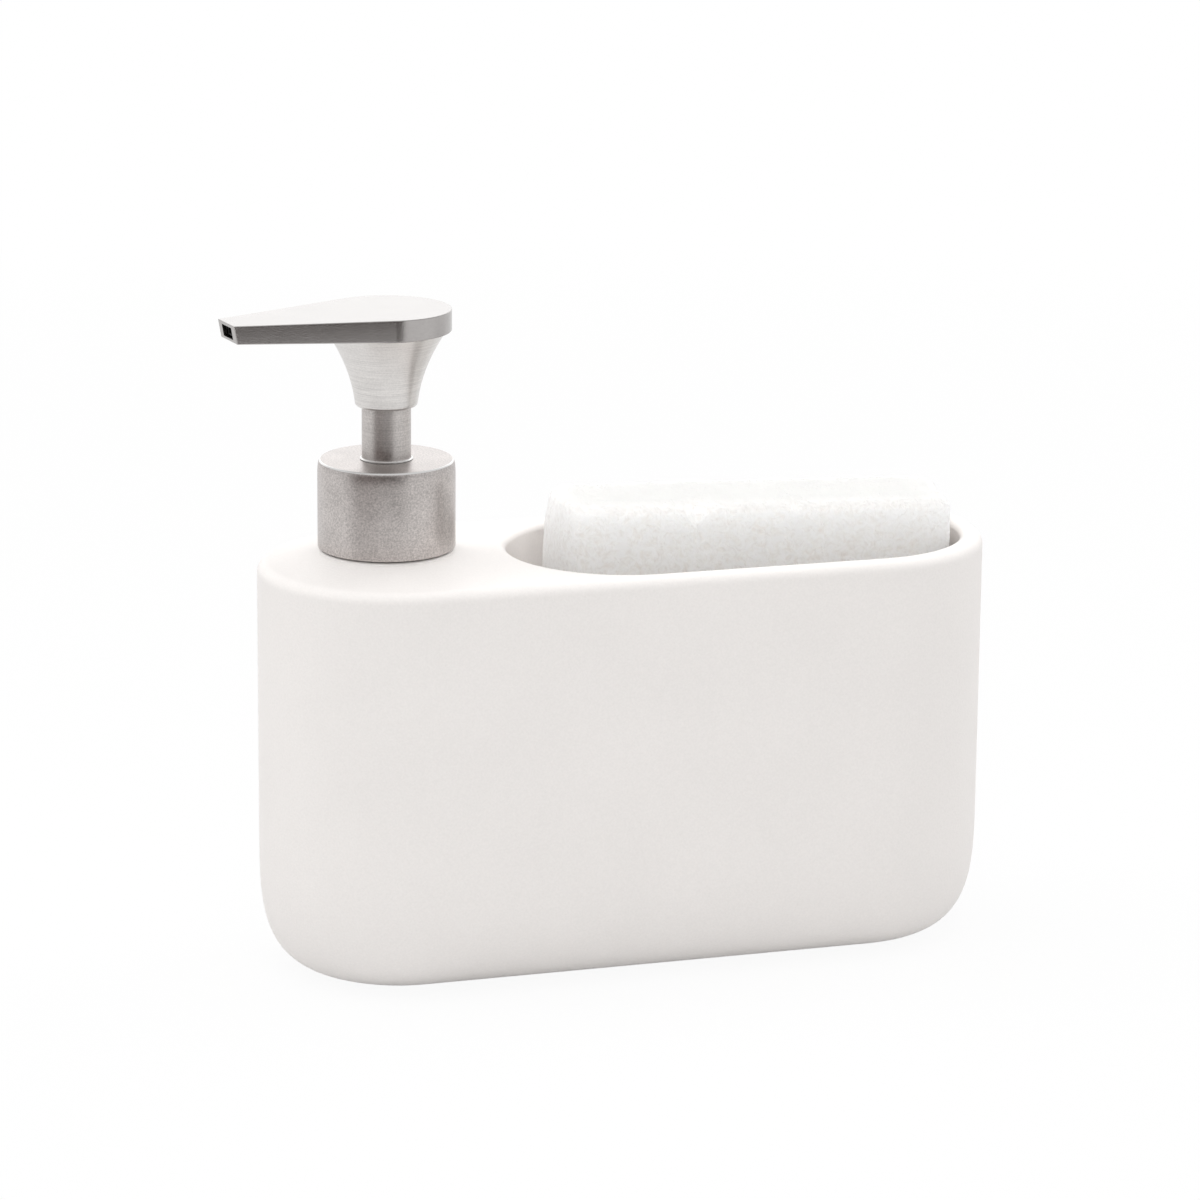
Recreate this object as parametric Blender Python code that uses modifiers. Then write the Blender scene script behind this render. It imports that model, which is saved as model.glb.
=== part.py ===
# Ceramic soap dispenser with a well for a sponge beside its steel pump.
#
# Frame: the origin is the centre of the flat base, +Z is up, +X runs towards
# the sponge, and -Y is the front. Every length is in metres.

import math

import bmesh
import bpy
from mathutils import Matrix

# Clearances that pieces share
FIT = 0.0003
RUNNING_GAP = 0.0004
OVERRUN = 0.0040
MERGE_DISTANCE = 0.00001

# Ceramic vessel, as long as its pump deck and its well need
BODY_WIDTH = 0.0660
BODY_HEIGHT = 0.0980
BODY_WALL = 0.0055
CHAMBER_FLOOR = 0.0060
CHAMBER_CEILING = 0.0062
CHAMBER_CORNER_ROUND = 0.0040
DECK_ROUND = 0.0026
BASE_ROUND_INWARD = 0.0240
BASE_ROUND_UPWARD = 0.0330
BASE_SQUARENESS = 3.5

# Sponge well, which opens in the deck beside the pump
WELL_SETBACK = 0.0300
WELL_END_ROOM = 0.0085
WELL_DEPTH = 0.0570
WELL_DIVIDER = 0.0050
WELL_LIP_ROUND = 0.0016
WELL_FLOOR_ROUND = 0.0050

# Pump mouth, on a low swept shoulder
PUMP_INSET = 0.0300
SHOULDER_RISE = 0.0032
SHOULDER_FOOT_RADIUS = 0.0272
SHOULDER_RIM_ROUND = 0.0006
SHOULDER_RIM_LEDGE = 0.0004
SHOULDER_ROOT = 0.0030
SHOULDER_SINK = 0.00004

# Pump housing, which hangs through the neck
HOUSING_RADIUS = 0.0082
HOUSING_WALL = 0.0012
HOUSING_FLANGE_THICKNESS = 0.0014
HOUSING_FLANGE_RADIUS = 0.0125
HOUSING_TAPER = 0.0030
SPRING_SEAT_THICKNESS = 0.0014

# Threaded neck that plugs the mouth
NECK_CLEARANCE = 0.0027
NECK_WALL = 0.0016
NECK_HEIGHT = 0.0120
NECK_FLANGE_THICKNESS = 0.0016
NECK_FLANGE_SETBACK = 0.0006
SPIGOT_WALL = 0.0010
SPIGOT_LENGTH = 0.0125
SPIGOT_LEAD = 0.0005
SEAL_THICKNESS = 0.0004
SEAL_RIB = 0.0003
SEAL_LENGTH = 0.0080
SEAL_RIB_COUNT = 3

# Thread shared by the neck and the cap, right handed
THREAD_PITCH = 0.004233
THREAD_DEPTH = 0.0011
THREAD_ROOT_WIDTH = 0.0021
THREAD_CREST_WIDTH = 0.0010
THREAD_GAP = 0.0003
THREAD_EMBED = 0.0004
THREAD_START = 0.0040
NECK_HALF_TURNS = 3
CAP_HALF_TURNS = 2

# Closure: a plastic screw cap inside a steel cover
CAP_WALL = 0.0012
CAP_WEB = 0.0012
CAP_FOOT_GAP = 0.0006
COVER_WALL = 0.0006
COVER_TOP = 0.0008
COVER_EDGE_ROUND = 0.0009
COVER_FOOT_GAP = 0.0004

# Gasket, stem guide and the steel sleeve round it
GASKET_THICKNESS = 0.0010
GUIDE_FLANGE_THICKNESS = 0.0014
GUIDE_PLUG_LENGTH = 0.0080
GUIDE_UPSTAND_HEIGHT = 0.0080
GUIDE_UPSTAND_WALL = 0.0009
SLEEVE_WALL = 0.0005
SLEEVE_FOOT_FLARE = 0.0007
SLEEVE_FOOT_HEIGHT = 0.0012
SLEEVE_INSERTION = 0.0022

# Stem, piston, rod, spring, ball and dip tube
STEM_RADIUS = 0.0036
STEM_BORE_RADIUS = 0.0022
STEM_PORT_RADIUS = 0.0008
PISTON_HEIGHT = 0.0058
PISTON_TOP_GAP = 0.0006
PISTON_LIP = 0.0008
PISTON_WAIST = 0.0009
ROD_FLANGE_RADIUS = 0.0054
ROD_FLANGE_THICKNESS = 0.0016
ROD_PIN_RADIUS = 0.0030
ROD_PIN_LENGTH = 0.0070
ROD_SHANK_LENGTH = 0.0050
SPRING_LENGTH = 0.0270
SPRING_RADIUS = 0.0046
SPRING_WIRE_RADIUS = 0.00045
SPRING_COILS = 8
SPRING_DEAD_COILS = 1
BALL_RADIUS = 0.0024
BALL_LIFT = 0.0015
BALL_CHAMBER_RADIUS = 0.0031
BALL_RETAINER_RADIUS = 0.0019
BALL_SLOT_WIDTH = 0.0012
INLET_RADIUS = 0.0016
INLET_LENGTH = 0.0015
TUBE_RADIUS = 0.0032
TUBE_WALL = 0.0009
TUBE_SOCKET_WALL = 0.0011
TUBE_SOCKET_DEPTH = 0.0090
TUBE_FLOOR_GAP = 0.0040

# Head: a flared cone under a drop-shaped plate
PRESS_TRAVEL = 0.0100
PRESS_MARGIN = 0.0010
CONE_HEIGHT = 0.0175
CONE_FOOT_RADIUS = 0.0072
CONE_TOP_RADIUS = 0.0137
CONE_WALL = 0.0011
CONE_FOOT_ROUND = 0.0005
CONE_STRAIGHT_SHARE = 0.23
CORE_HEIGHT = 0.0040
CORE_ROOF = 0.0010
PLATE_THICKNESS = 0.0051
PLATE_TIP_RISE = 0.0006
PLATE_TIP_DROP = 0.0002
PLATE_RADIUS = 0.0151
PLATE_EDGE_ROUND = 0.0005
PLATE_TIP_UNDERCUT = 0.0008
SPOUT_REACH = 0.0396
SPOUT_WIDTH = 0.0097
SPOUT_YAW = math.radians(8.7)
SPOUT_HOLE_WIDTH = 0.0056
SPOUT_HOLE_HEIGHT = 0.0028
SPOUT_TUBE_WALL = 0.0004
SPOUT_TUBE_SETBACK = 0.0008
SPOUT_INLET_RADIUS = 0.0015

# Sponge, set in its well a little askew
SPONGE_LENGTH = 0.0935
SPONGE_THICKNESS = 0.0242
SPONGE_HEIGHT = 0.0670
SPONGE_ROUND = 0.0028
SPONGE_SHIFT = 0.0025
SPONGE_YAW = math.radians(-3.4)
SPONGE_TILT = math.radians(1.45)

# Facets
BODY_STEPS = 20
BASE_STEPS = 9
ROUND_STEPS = 4
TURN_STEPS = 40
SMALL_TURN_STEPS = 24
THREAD_STEPS = 12
SHOULDER_STEPS = 7
CONE_STEPS = 8
COIL_POINTS = 9
PORT_STEPS = 8
SPONGE_ROUND_SEGMENTS = 3
SHARP_ANGLE = math.radians(32)

# Well and body
WELL_LENGTH = SPONGE_LENGTH + 2 * WELL_END_ROOM
BODY_LENGTH = PUMP_INSET + WELL_SETBACK + WELL_LENGTH + BODY_WALL
BODY_HALF_RUN = (BODY_LENGTH - BODY_WIDTH) / 2
WELL_RADIUS = BODY_WIDTH / 2 - BODY_WALL
WELL_HALF_RUN = WELL_LENGTH / 2 - WELL_RADIUS
WELL_X = BODY_LENGTH / 2 - BODY_WALL - WELL_LENGTH / 2
WELL_FLOOR_Z = BODY_HEIGHT - WELL_DEPTH

# Places along the pump's axis, from the deck upwards
PUMP_X = PUMP_INSET - BODY_LENGTH / 2
SEAT_Z = BODY_HEIGHT + SHOULDER_RISE
NECK_FLANGE_Z = SEAT_Z + FIT
NECK_ROOT_Z = NECK_FLANGE_Z + NECK_FLANGE_THICKNESS
NECK_TOP_Z = NECK_ROOT_Z + NECK_HEIGHT
GASKET_Z = NECK_TOP_Z + FIT
HOUSING_FLANGE_Z = GASKET_Z + GASKET_THICKNESS + FIT
HOUSING_TOP_Z = HOUSING_FLANGE_Z + HOUSING_FLANGE_THICKNESS
GUIDE_FLANGE_Z = HOUSING_TOP_Z + FIT
GUIDE_TOP_Z = GUIDE_FLANGE_Z + GUIDE_FLANGE_THICKNESS
CAP_WEB_Z = GUIDE_TOP_Z + FIT
CAP_TOP_Z = CAP_WEB_Z + CAP_WEB
COVER_FOOT_Z = SEAT_Z + COVER_FOOT_GAP
COVER_ROOF_Z = CAP_TOP_Z + FIT
COVER_TOP_Z = COVER_ROOF_Z + COVER_TOP
SLEEVE_FOOT_Z = COVER_TOP_Z + FIT
CONE_FOOT_Z = SLEEVE_FOOT_Z + SLEEVE_FOOT_HEIGHT + PRESS_TRAVEL + PRESS_MARGIN
CONE_TOP_Z = CONE_FOOT_Z + CONE_HEIGHT
SLEEVE_TOP_Z = CONE_FOOT_Z + SLEEVE_INSERTION
PLATE_Z = CONE_TOP_Z + FIT
PLATE_TOP_Z = PLATE_Z + PLATE_THICKNESS
CORE_TOP_Z = CONE_TOP_Z
CORE_FOOT_Z = CORE_TOP_Z - CORE_HEIGHT
STEM_TOP_Z = CORE_TOP_Z - CORE_ROOF - FIT

# Places along the pump's axis, from the stem guide downwards
GUIDE_FOOT_Z = GUIDE_FLANGE_Z - GUIDE_PLUG_LENGTH
PISTON_TOP_Z = GUIDE_FOOT_Z - PISTON_TOP_GAP
PISTON_FOOT_Z = PISTON_TOP_Z - PISTON_HEIGHT
STEM_FOOT_Z = PISTON_FOOT_Z + FIT
ROD_FLANGE_TOP_Z = PISTON_FOOT_Z - FIT
ROD_FLANGE_FOOT_Z = ROD_FLANGE_TOP_Z - ROD_FLANGE_THICKNESS
SPRING_TOP_Z = ROD_FLANGE_FOOT_Z - FIT
SPRING_FOOT_Z = SPRING_TOP_Z - SPRING_LENGTH
SPRING_SEAT_Z = SPRING_FOOT_Z - FIT
RETAINER_Z = SPRING_SEAT_Z - SPRING_SEAT_THICKNESS
BALL_Z = RETAINER_Z - FIT - BALL_LIFT - BALL_RADIUS
BALL_SEAT_Z = BALL_Z + INLET_RADIUS - math.sqrt(2) * (BALL_RADIUS + FIT)
BALL_SEAT_TOP_Z = BALL_SEAT_Z + BALL_CHAMBER_RADIUS - INLET_RADIUS
TUBE_SOCKET_Z = BALL_SEAT_Z - INLET_LENGTH
HOUSING_FOOT_Z = TUBE_SOCKET_Z - TUBE_SOCKET_DEPTH

# Radii from the pump's axis outwards
HOUSING_BORE = HOUSING_RADIUS - HOUSING_WALL
NECK_BORE = HOUSING_RADIUS + NECK_CLEARANCE
NECK_RADIUS = NECK_BORE + NECK_WALL
THREAD_RADIUS = NECK_RADIUS + THREAD_DEPTH
CAP_BORE = THREAD_RADIUS + THREAD_GAP
CAP_RADIUS = CAP_BORE + CAP_WALL
COVER_BORE = CAP_RADIUS + FIT
COVER_RADIUS = COVER_BORE + COVER_WALL
NECK_FLANGE_RADIUS = COVER_BORE - NECK_FLANGE_SETBACK
SPIGOT_RADIUS = NECK_BORE + SPIGOT_WALL
SEAL_BORE = SPIGOT_RADIUS + FIT
SEAL_RADIUS = SEAL_BORE + SEAL_THICKNESS
MOUTH_RADIUS = SEAL_RADIUS + SEAL_RIB + FIT
GUIDE_BORE = STEM_RADIUS + RUNNING_GAP
GUIDE_UPSTAND_RADIUS = GUIDE_BORE + GUIDE_UPSTAND_WALL
SLEEVE_BORE = GUIDE_UPSTAND_RADIUS + FIT
SLEEVE_RADIUS = SLEEVE_BORE + SLEEVE_WALL
CLOSURE_HOLE = SLEEVE_RADIUS + RUNNING_GAP
CONE_BORE = SLEEVE_RADIUS + RUNNING_GAP


def collection(name):
    """A new collection in the scene."""
    made = bpy.data.collections.new(name)
    bpy.context.scene.collection.children.link(made)
    return made


def material(name, colour, roughness, metallic=0.0):
    """A Principled material."""
    made = bpy.data.materials.new(name)
    made.use_nodes = True
    shader = made.node_tree.nodes["Principled BSDF"]
    shader.inputs["Base Color"].default_value = (*colour, 1.0)
    shader.inputs["Roughness"].default_value = roughness
    shader.inputs["Metallic"].default_value = metallic
    return made


def add_object(name, mesh, group, finish=None, parent=None):
    """Put a mesh into the scene as an object, under a parent empty if given."""
    made = bpy.data.objects.new(name, mesh)
    group.objects.link(made)
    if finish:
        made.data.materials.append(finish)
    if parent:
        made.parent = parent
    return made


def as_cutter(piece):
    """Mark an object as a construction guide that isn't part of the model."""
    piece.hide_render = True
    piece.display_type = "WIRE"
    return piece


def boolean(piece, tool, operation="DIFFERENCE"):
    """Cut a piece with a tool, or join the tool to it."""
    modifier = piece.modifiers.new(operation.title() + " " + tool.name, "BOOLEAN")
    modifier.operation = operation
    modifier.object = tool
    modifier.solver = "EXACT"


def smooth(mesh):
    """Shade a round mesh smooth and keep its hard corners."""
    mesh.shade_smooth()
    mesh.set_sharp_from_angle(angle=SHARP_ANGLE)


def swept(profile, closed, steps, angle=2 * math.pi, iterations=1, rise=0.0):
    """The mesh that a profile of (radius, height) points sweeps about Z."""
    mesh = bpy.data.meshes.new("profile")
    count = len(profile)
    edges = [(i, i + 1) for i in range(count - 1)]
    if closed:
        edges.append((count - 1, 0))
    mesh.from_pydata([(radius, 0.0, height) for radius, height in profile], edges, [])
    guide = bpy.data.objects.new("profile", mesh)
    bpy.context.scene.collection.objects.link(guide)
    screw = guide.modifiers.new("Turn", "SCREW")
    screw.angle = angle
    screw.steps = steps
    screw.render_steps = steps
    screw.iterations = iterations
    screw.screw_offset = rise
    screw.use_merge_vertices = True
    screw.merge_threshold = MERGE_DISTANCE
    result = bpy.data.meshes.new_from_object(guide.evaluated_get(bpy.context.evaluated_depsgraph_get()))
    bpy.data.objects.remove(guide)
    bpy.data.meshes.remove(mesh)
    return result


def turned(name, profile, group, finish=None, parent=None, closed=True, steps=TURN_STEPS):
    """A turned piece; the profile runs down its outer side and up its inner one."""
    mesh = swept(profile, closed, steps)
    mesh.name = name
    smooth(mesh)
    return add_object(name, mesh, group, finish, parent)


def stadium(name, profile, half_run, group, finish=None):
    """A solid with two round ends: a half turn, drawn out to the middle and mirrored."""
    mesh = swept(profile, False, BODY_STEPS, math.pi)
    shell = bmesh.new()
    shell.from_mesh(mesh)
    turn = Matrix.Rotation(-math.pi / 2, 3, "Z")
    bmesh.ops.rotate(shell, verts=shell.verts, matrix=turn)
    bmesh.ops.translate(shell, verts=shell.verts, vec=(half_run, 0.0, 0.0))
    rim = [edge for edge in shell.edges if edge.is_boundary]
    drawn = bmesh.ops.extrude_edge_only(shell, edges=rim)
    for item in drawn["geom"]:
        if isinstance(item, bmesh.types.BMVert):
            item.co.x = 0.0
    everything = list(shell.verts) + list(shell.edges) + list(shell.faces)
    bmesh.ops.mirror(shell, geom=everything, axis="X", merge_dist=MERGE_DISTANCE)
    bmesh.ops.recalc_face_normals(shell, faces=shell.faces)
    shell.to_mesh(mesh)
    shell.free()
    mesh.name = name
    smooth(mesh)
    return add_object(name, mesh, group, finish)


def box(name, low, high, group, finish=None, parent=None):
    """A block between two opposite corners."""
    shell = bmesh.new()
    bmesh.ops.create_cube(shell, size=1.0)
    size = [b - a for a, b in zip(low, high)]
    middle = [(a + b) / 2 for a, b in zip(low, high)]
    bmesh.ops.scale(shell, vec=size, verts=shell.verts)
    bmesh.ops.translate(shell, vec=middle, verts=shell.verts)
    mesh = bpy.data.meshes.new(name)
    shell.to_mesh(mesh)
    shell.free()
    return add_object(name, mesh, group, finish, parent)


def cylinder(name, radius, low_z, high_z, group, steps=SMALL_TURN_STEPS, parent=None):
    """A plain upright cylinder between two heights."""
    shell = bmesh.new()
    bmesh.ops.create_cone(shell, cap_ends=True, segments=steps, radius1=radius, radius2=radius,
                          depth=high_z - low_z)
    bmesh.ops.translate(shell, vec=(0.0, 0.0, (low_z + high_z) / 2), verts=shell.verts)
    mesh = bpy.data.meshes.new(name)
    shell.to_mesh(mesh)
    shell.free()
    return add_object(name, mesh, group, parent=parent)


def quarter(steps):
    """Angles from nought to a right angle."""
    return [math.pi / 2 * i / steps for i in range(steps + 1)]


def base_round(radius, floor_z, inward, upward):
    """Points of the swelling lower edge, from the wall down to the flat base."""
    power = 2 / BASE_SQUARENESS
    points = []
    for angle in quarter(BASE_STEPS):
        across = math.cos(angle) ** power
        down = math.sin(angle) ** power
        points.append((radius - inward + inward * across, floor_z + upward - upward * down))
    return points


def vessel_profile(radius, top_z, top_round, floor_z, inward, upward):
    """Outline of the vessel or its chamber, from the top's middle to the base's middle."""
    top = [(radius - top_round + top_round * math.sin(angle), top_z - top_round + top_round * math.cos(angle))
           for angle in quarter(ROUND_STEPS)]
    return [(0.0, top_z)] + top + base_round(radius, floor_z, inward, upward) + [(0.0, floor_z)]


def well_profile(grow, top_z, lip):
    """Outline of the well, grown on every side, with a flared lip if one is given."""
    radius = WELL_RADIUS + grow
    floor_z = WELL_FLOOR_Z - grow
    bend = WELL_FLOOR_ROUND + grow
    points = [(0.0, top_z)]
    if lip:
        points += [(radius + lip, top_z)]
        points += [(radius + lip - lip * math.sin(angle), BODY_HEIGHT - lip + lip * math.cos(angle))
                   for angle in quarter(ROUND_STEPS)]
    else:
        points += [(radius, top_z)]
    points += [(radius - bend + bend * math.cos(angle), floor_z + bend - bend * math.sin(angle))
               for angle in quarter(ROUND_STEPS)]
    return points + [(0.0, floor_z)]


def shoulder_profile():
    """Outline of the shoulder that sweeps up from the deck to the pump's seat."""
    rim = COVER_RADIUS + SHOULDER_RIM_LEDGE
    points = [(0.0, SEAT_Z)]
    points += [(rim - SHOULDER_RIM_ROUND + SHOULDER_RIM_ROUND * math.sin(angle),
                SEAT_Z - SHOULDER_RIM_ROUND + SHOULDER_RIM_ROUND * math.cos(angle))
               for angle in quarter(ROUND_STEPS)[:-1]]
    drop = SHOULDER_RISE - SHOULDER_RIM_ROUND
    for i in range(SHOULDER_STEPS + 1):
        share = i / SHOULDER_STEPS
        points.append((rim + (SHOULDER_FOOT_RADIUS - rim) * share,
                       BODY_HEIGHT - SHOULDER_SINK + (drop + SHOULDER_SINK) * (1 - share) ** 2))
    root = BODY_HEIGHT - SHOULDER_ROOT
    return points + [(SHOULDER_FOOT_RADIUS, root), (0.0, root)]


def vessel(parts, tools, finish):
    """The slip-cast vessel: outer body, chamber, well, shoulder and mouth."""
    body = stadium("ceramic_vessel", vessel_profile(BODY_WIDTH / 2, BODY_HEIGHT, DECK_ROUND, 0.0,
                                                    BASE_ROUND_INWARD, BASE_ROUND_UPWARD),
                   BODY_HALF_RUN, parts, finish)
    shoulder = as_cutter(turned("shoulder_form", shoulder_profile(), tools, closed=False))
    shoulder.location.x = PUMP_X
    boolean(body, shoulder, "UNION")
    chamber = as_cutter(stadium("chamber_form",
                                vessel_profile(WELL_RADIUS, BODY_HEIGHT - CHAMBER_CEILING,
                                               CHAMBER_CORNER_ROUND, CHAMBER_FLOOR,
                                               BASE_ROUND_INWARD - BODY_WALL / 2,
                                               BASE_ROUND_UPWARD - CHAMBER_FLOOR),
                                BODY_HALF_RUN, tools))
    island = as_cutter(stadium("well_wall_form",
                               well_profile(WELL_DIVIDER, BODY_HEIGHT + OVERRUN, 0.0), WELL_HALF_RUN, tools))
    island.location.x = WELL_X
    boolean(chamber, island)
    boolean(body, chamber)
    well = as_cutter(stadium("well_form", well_profile(0.0, BODY_HEIGHT + OVERRUN, WELL_LIP_ROUND),
                             WELL_HALF_RUN, tools))
    well.location.x = WELL_X
    boolean(body, well)
    mouth = as_cutter(cylinder("mouth_form", MOUTH_RADIUS, BODY_HEIGHT - CHAMBER_CEILING - OVERRUN,
                               SEAT_Z + OVERRUN, tools, TURN_STEPS))
    mouth.location.x = PUMP_X
    boolean(body, mouth)
    return body


def thread_ridge(name, root, crest, start_z, half_turns, tools):
    """A helical ridge from its root radius to its crest radius, a bit of it sunk in the wall."""
    outward = 1 if crest > root else -1
    sunk = root - outward * THREAD_EMBED
    half_root = THREAD_ROOT_WIDTH / 2
    half_crest = THREAD_CREST_WIDTH / 2
    profile = [(sunk, start_z + half_root), (root, start_z + half_root), (crest, start_z + half_crest),
               (crest, start_z - half_crest), (root, start_z - half_root), (sunk, start_z - half_root)]
    mesh = swept(profile, True, THREAD_STEPS, math.pi, half_turns, THREAD_PITCH / 2)
    ridge = bmesh.new()
    ridge.from_mesh(mesh)
    bmesh.ops.holes_fill(ridge, edges=[edge for edge in ridge.edges if edge.is_boundary])
    bmesh.ops.recalc_face_normals(ridge, faces=ridge.faces)
    ridge.to_mesh(mesh)
    ridge.free()
    return as_cutter(add_object(name, mesh, tools))


def neck(parts, tools, finish, soft_finish, axis):
    """The threaded neck that plugs the mouth, and the ribbed seal round its spigot."""
    spigot_foot = NECK_FLANGE_Z - SPIGOT_LENGTH
    insert = turned("neck_insert",
                    [(NECK_RADIUS, NECK_TOP_Z), (NECK_RADIUS, NECK_ROOT_Z), (NECK_FLANGE_RADIUS, NECK_ROOT_Z),
                     (NECK_FLANGE_RADIUS, NECK_FLANGE_Z), (SPIGOT_RADIUS, NECK_FLANGE_Z),
                     (SPIGOT_RADIUS, spigot_foot + SPIGOT_LEAD), (SPIGOT_RADIUS - SPIGOT_LEAD, spigot_foot),
                     (NECK_BORE, spigot_foot), (NECK_BORE, NECK_TOP_Z)], parts, finish, axis)
    ridge = thread_ridge("neck_thread_form", NECK_RADIUS, THREAD_RADIUS, NECK_ROOT_Z + THREAD_START,
                         NECK_HALF_TURNS, tools)
    ridge.parent = axis
    boolean(insert, ridge, "UNION")
    top = NECK_FLANGE_Z - FIT
    pitch = SEAL_LENGTH / SEAL_RIB_COUNT
    points = []
    for i in range(SEAL_RIB_COUNT):
        level = top - pitch * i
        points += [(SEAL_RADIUS, level), (SEAL_RADIUS + SEAL_RIB, level - pitch / 2)]
    points += [(SEAL_RADIUS, top - SEAL_LENGTH), (SEAL_BORE, top - SEAL_LENGTH), (SEAL_BORE, top)]
    turned("neck_seal", points, parts, soft_finish, axis)


def closure(parts, tools, finish, steel, axis):
    """The screw cap, with its inner thread, and the steel cover pressed over it."""
    foot = NECK_ROOT_Z + CAP_FOOT_GAP
    cap = turned("screw_cap",
                 [(CLOSURE_HOLE, CAP_TOP_Z), (CAP_RADIUS, CAP_TOP_Z), (CAP_RADIUS, foot), (CAP_BORE, foot),
                  (CAP_BORE, CAP_WEB_Z), (CLOSURE_HOLE, CAP_WEB_Z)], parts, finish, axis)
    ridge = thread_ridge("cap_thread_form", CAP_BORE, NECK_RADIUS + THREAD_GAP,
                         NECK_ROOT_Z + THREAD_START - THREAD_PITCH / 2, CAP_HALF_TURNS, tools)
    ridge.parent = axis
    boolean(cap, ridge, "UNION")
    edge = [(COVER_RADIUS - COVER_EDGE_ROUND + COVER_EDGE_ROUND * math.sin(angle),
             COVER_TOP_Z - COVER_EDGE_ROUND + COVER_EDGE_ROUND * math.cos(angle))
            for angle in quarter(ROUND_STEPS)]
    turned("collar_cover",
           [(CLOSURE_HOLE, COVER_TOP_Z)] + edge
           + [(COVER_RADIUS, COVER_FOOT_Z), (COVER_BORE, COVER_FOOT_Z), (COVER_BORE, COVER_ROOF_Z),
              (CLOSURE_HOLE, COVER_ROOF_Z)], parts, steel, axis)


def housing(parts, tools, finish, axis):
    """The pump's cylinder, with its flange, ball cage and tube socket in one moulding."""
    socket = TUBE_RADIUS + FIT
    nose = socket + TUBE_SOCKET_WALL
    taper_z = RETAINER_Z
    body = turned("pump_housing",
                  [(HOUSING_FLANGE_RADIUS, HOUSING_TOP_Z), (HOUSING_FLANGE_RADIUS, HOUSING_FLANGE_Z),
                   (HOUSING_RADIUS, HOUSING_FLANGE_Z), (HOUSING_RADIUS, taper_z),
                   (nose, taper_z - HOUSING_TAPER), (nose, HOUSING_FOOT_Z), (socket, HOUSING_FOOT_Z),
                   (socket, TUBE_SOCKET_Z), (INLET_RADIUS, TUBE_SOCKET_Z), (INLET_RADIUS, BALL_SEAT_Z),
                   (BALL_CHAMBER_RADIUS, BALL_SEAT_TOP_Z), (BALL_CHAMBER_RADIUS, RETAINER_Z),
                   (BALL_RETAINER_RADIUS, RETAINER_Z), (BALL_RETAINER_RADIUS, SPRING_SEAT_Z),
                   (HOUSING_BORE, SPRING_SEAT_Z), (HOUSING_BORE, HOUSING_TOP_Z)],
                  parts, finish, axis, steps=SMALL_TURN_STEPS)
    low = RETAINER_Z - BALL_SLOT_WIDTH
    high = SPRING_SEAT_Z + BALL_SLOT_WIDTH
    long, short = BALL_CHAMBER_RADIUS, BALL_SLOT_WIDTH / 2
    for name, x, y in (("bypass_form_x", long, short), ("bypass_form_y", short, long)):
        boolean(body, as_cutter(box(name, (-x, -y, low), (x, y, high), tools, parent=axis)))


def guide_and_sleeve(parts, finish, steel, foam, axis):
    """The gasket, the stem guide that snaps into the housing, and its steel sleeve."""
    turned("housing_gasket",
           [(HOUSING_FLANGE_RADIUS, GASKET_Z + GASKET_THICKNESS), (HOUSING_FLANGE_RADIUS, GASKET_Z),
            (HOUSING_RADIUS + FIT, GASKET_Z), (HOUSING_RADIUS + FIT, GASKET_Z + GASKET_THICKNESS)],
           parts, foam, axis, steps=SMALL_TURN_STEPS)
    upstand_z = GUIDE_TOP_Z + GUIDE_UPSTAND_HEIGHT
    turned("stem_guide",
           [(GUIDE_UPSTAND_RADIUS, upstand_z), (GUIDE_UPSTAND_RADIUS, GUIDE_TOP_Z),
            (HOUSING_FLANGE_RADIUS, GUIDE_TOP_Z), (HOUSING_FLANGE_RADIUS, GUIDE_FLANGE_Z),
            (HOUSING_BORE - FIT, GUIDE_FLANGE_Z), (HOUSING_BORE - FIT, GUIDE_FOOT_Z),
            (GUIDE_BORE, GUIDE_FOOT_Z), (GUIDE_BORE, upstand_z)], parts, finish, axis, steps=SMALL_TURN_STEPS)
    flare = [(SLEEVE_RADIUS + SLEEVE_FOOT_FLARE * (1 - math.sin(angle)),
              SLEEVE_FOOT_Z + SLEEVE_FOOT_HEIGHT * (1 - math.cos(angle)))
             for angle in reversed(quarter(ROUND_STEPS))]
    turned("neck_sleeve",
           [(SLEEVE_RADIUS, SLEEVE_TOP_Z)] + flare
           + [(SLEEVE_RADIUS, SLEEVE_FOOT_Z), (SLEEVE_RADIUS, GUIDE_TOP_Z + FIT),
              (SLEEVE_BORE, GUIDE_TOP_Z + FIT), (SLEEVE_BORE, SLEEVE_TOP_Z)], parts, steel, axis)


def spring_points():
    """Points of the return spring's wire, with its end coils closed up."""
    radius = SPRING_WIRE_RADIUS
    low = SPRING_FOOT_Z + radius
    high = SPRING_TOP_Z - radius
    dead_rise = 2 * radius + RUNNING_GAP
    live_rise = (high - low - 2 * SPRING_DEAD_COILS * dead_rise) / (SPRING_COILS - 2 * SPRING_DEAD_COILS)
    points = []
    for i in range(SPRING_COILS * COIL_POINTS + 1):
        turn = i / COIL_POINTS
        from_foot = min(turn, SPRING_DEAD_COILS)
        from_top = max(0.0, turn - (SPRING_COILS - SPRING_DEAD_COILS))
        level = low + (from_foot + from_top) * dead_rise + (turn - from_foot - from_top) * live_rise
        angle = 2 * math.pi * turn
        points.append((SPRING_RADIUS * math.cos(angle), SPRING_RADIUS * math.sin(angle), level))
    print("least gap between the spring's coils: %.4f" % (dead_rise - 2 * radius))
    return points


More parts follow.
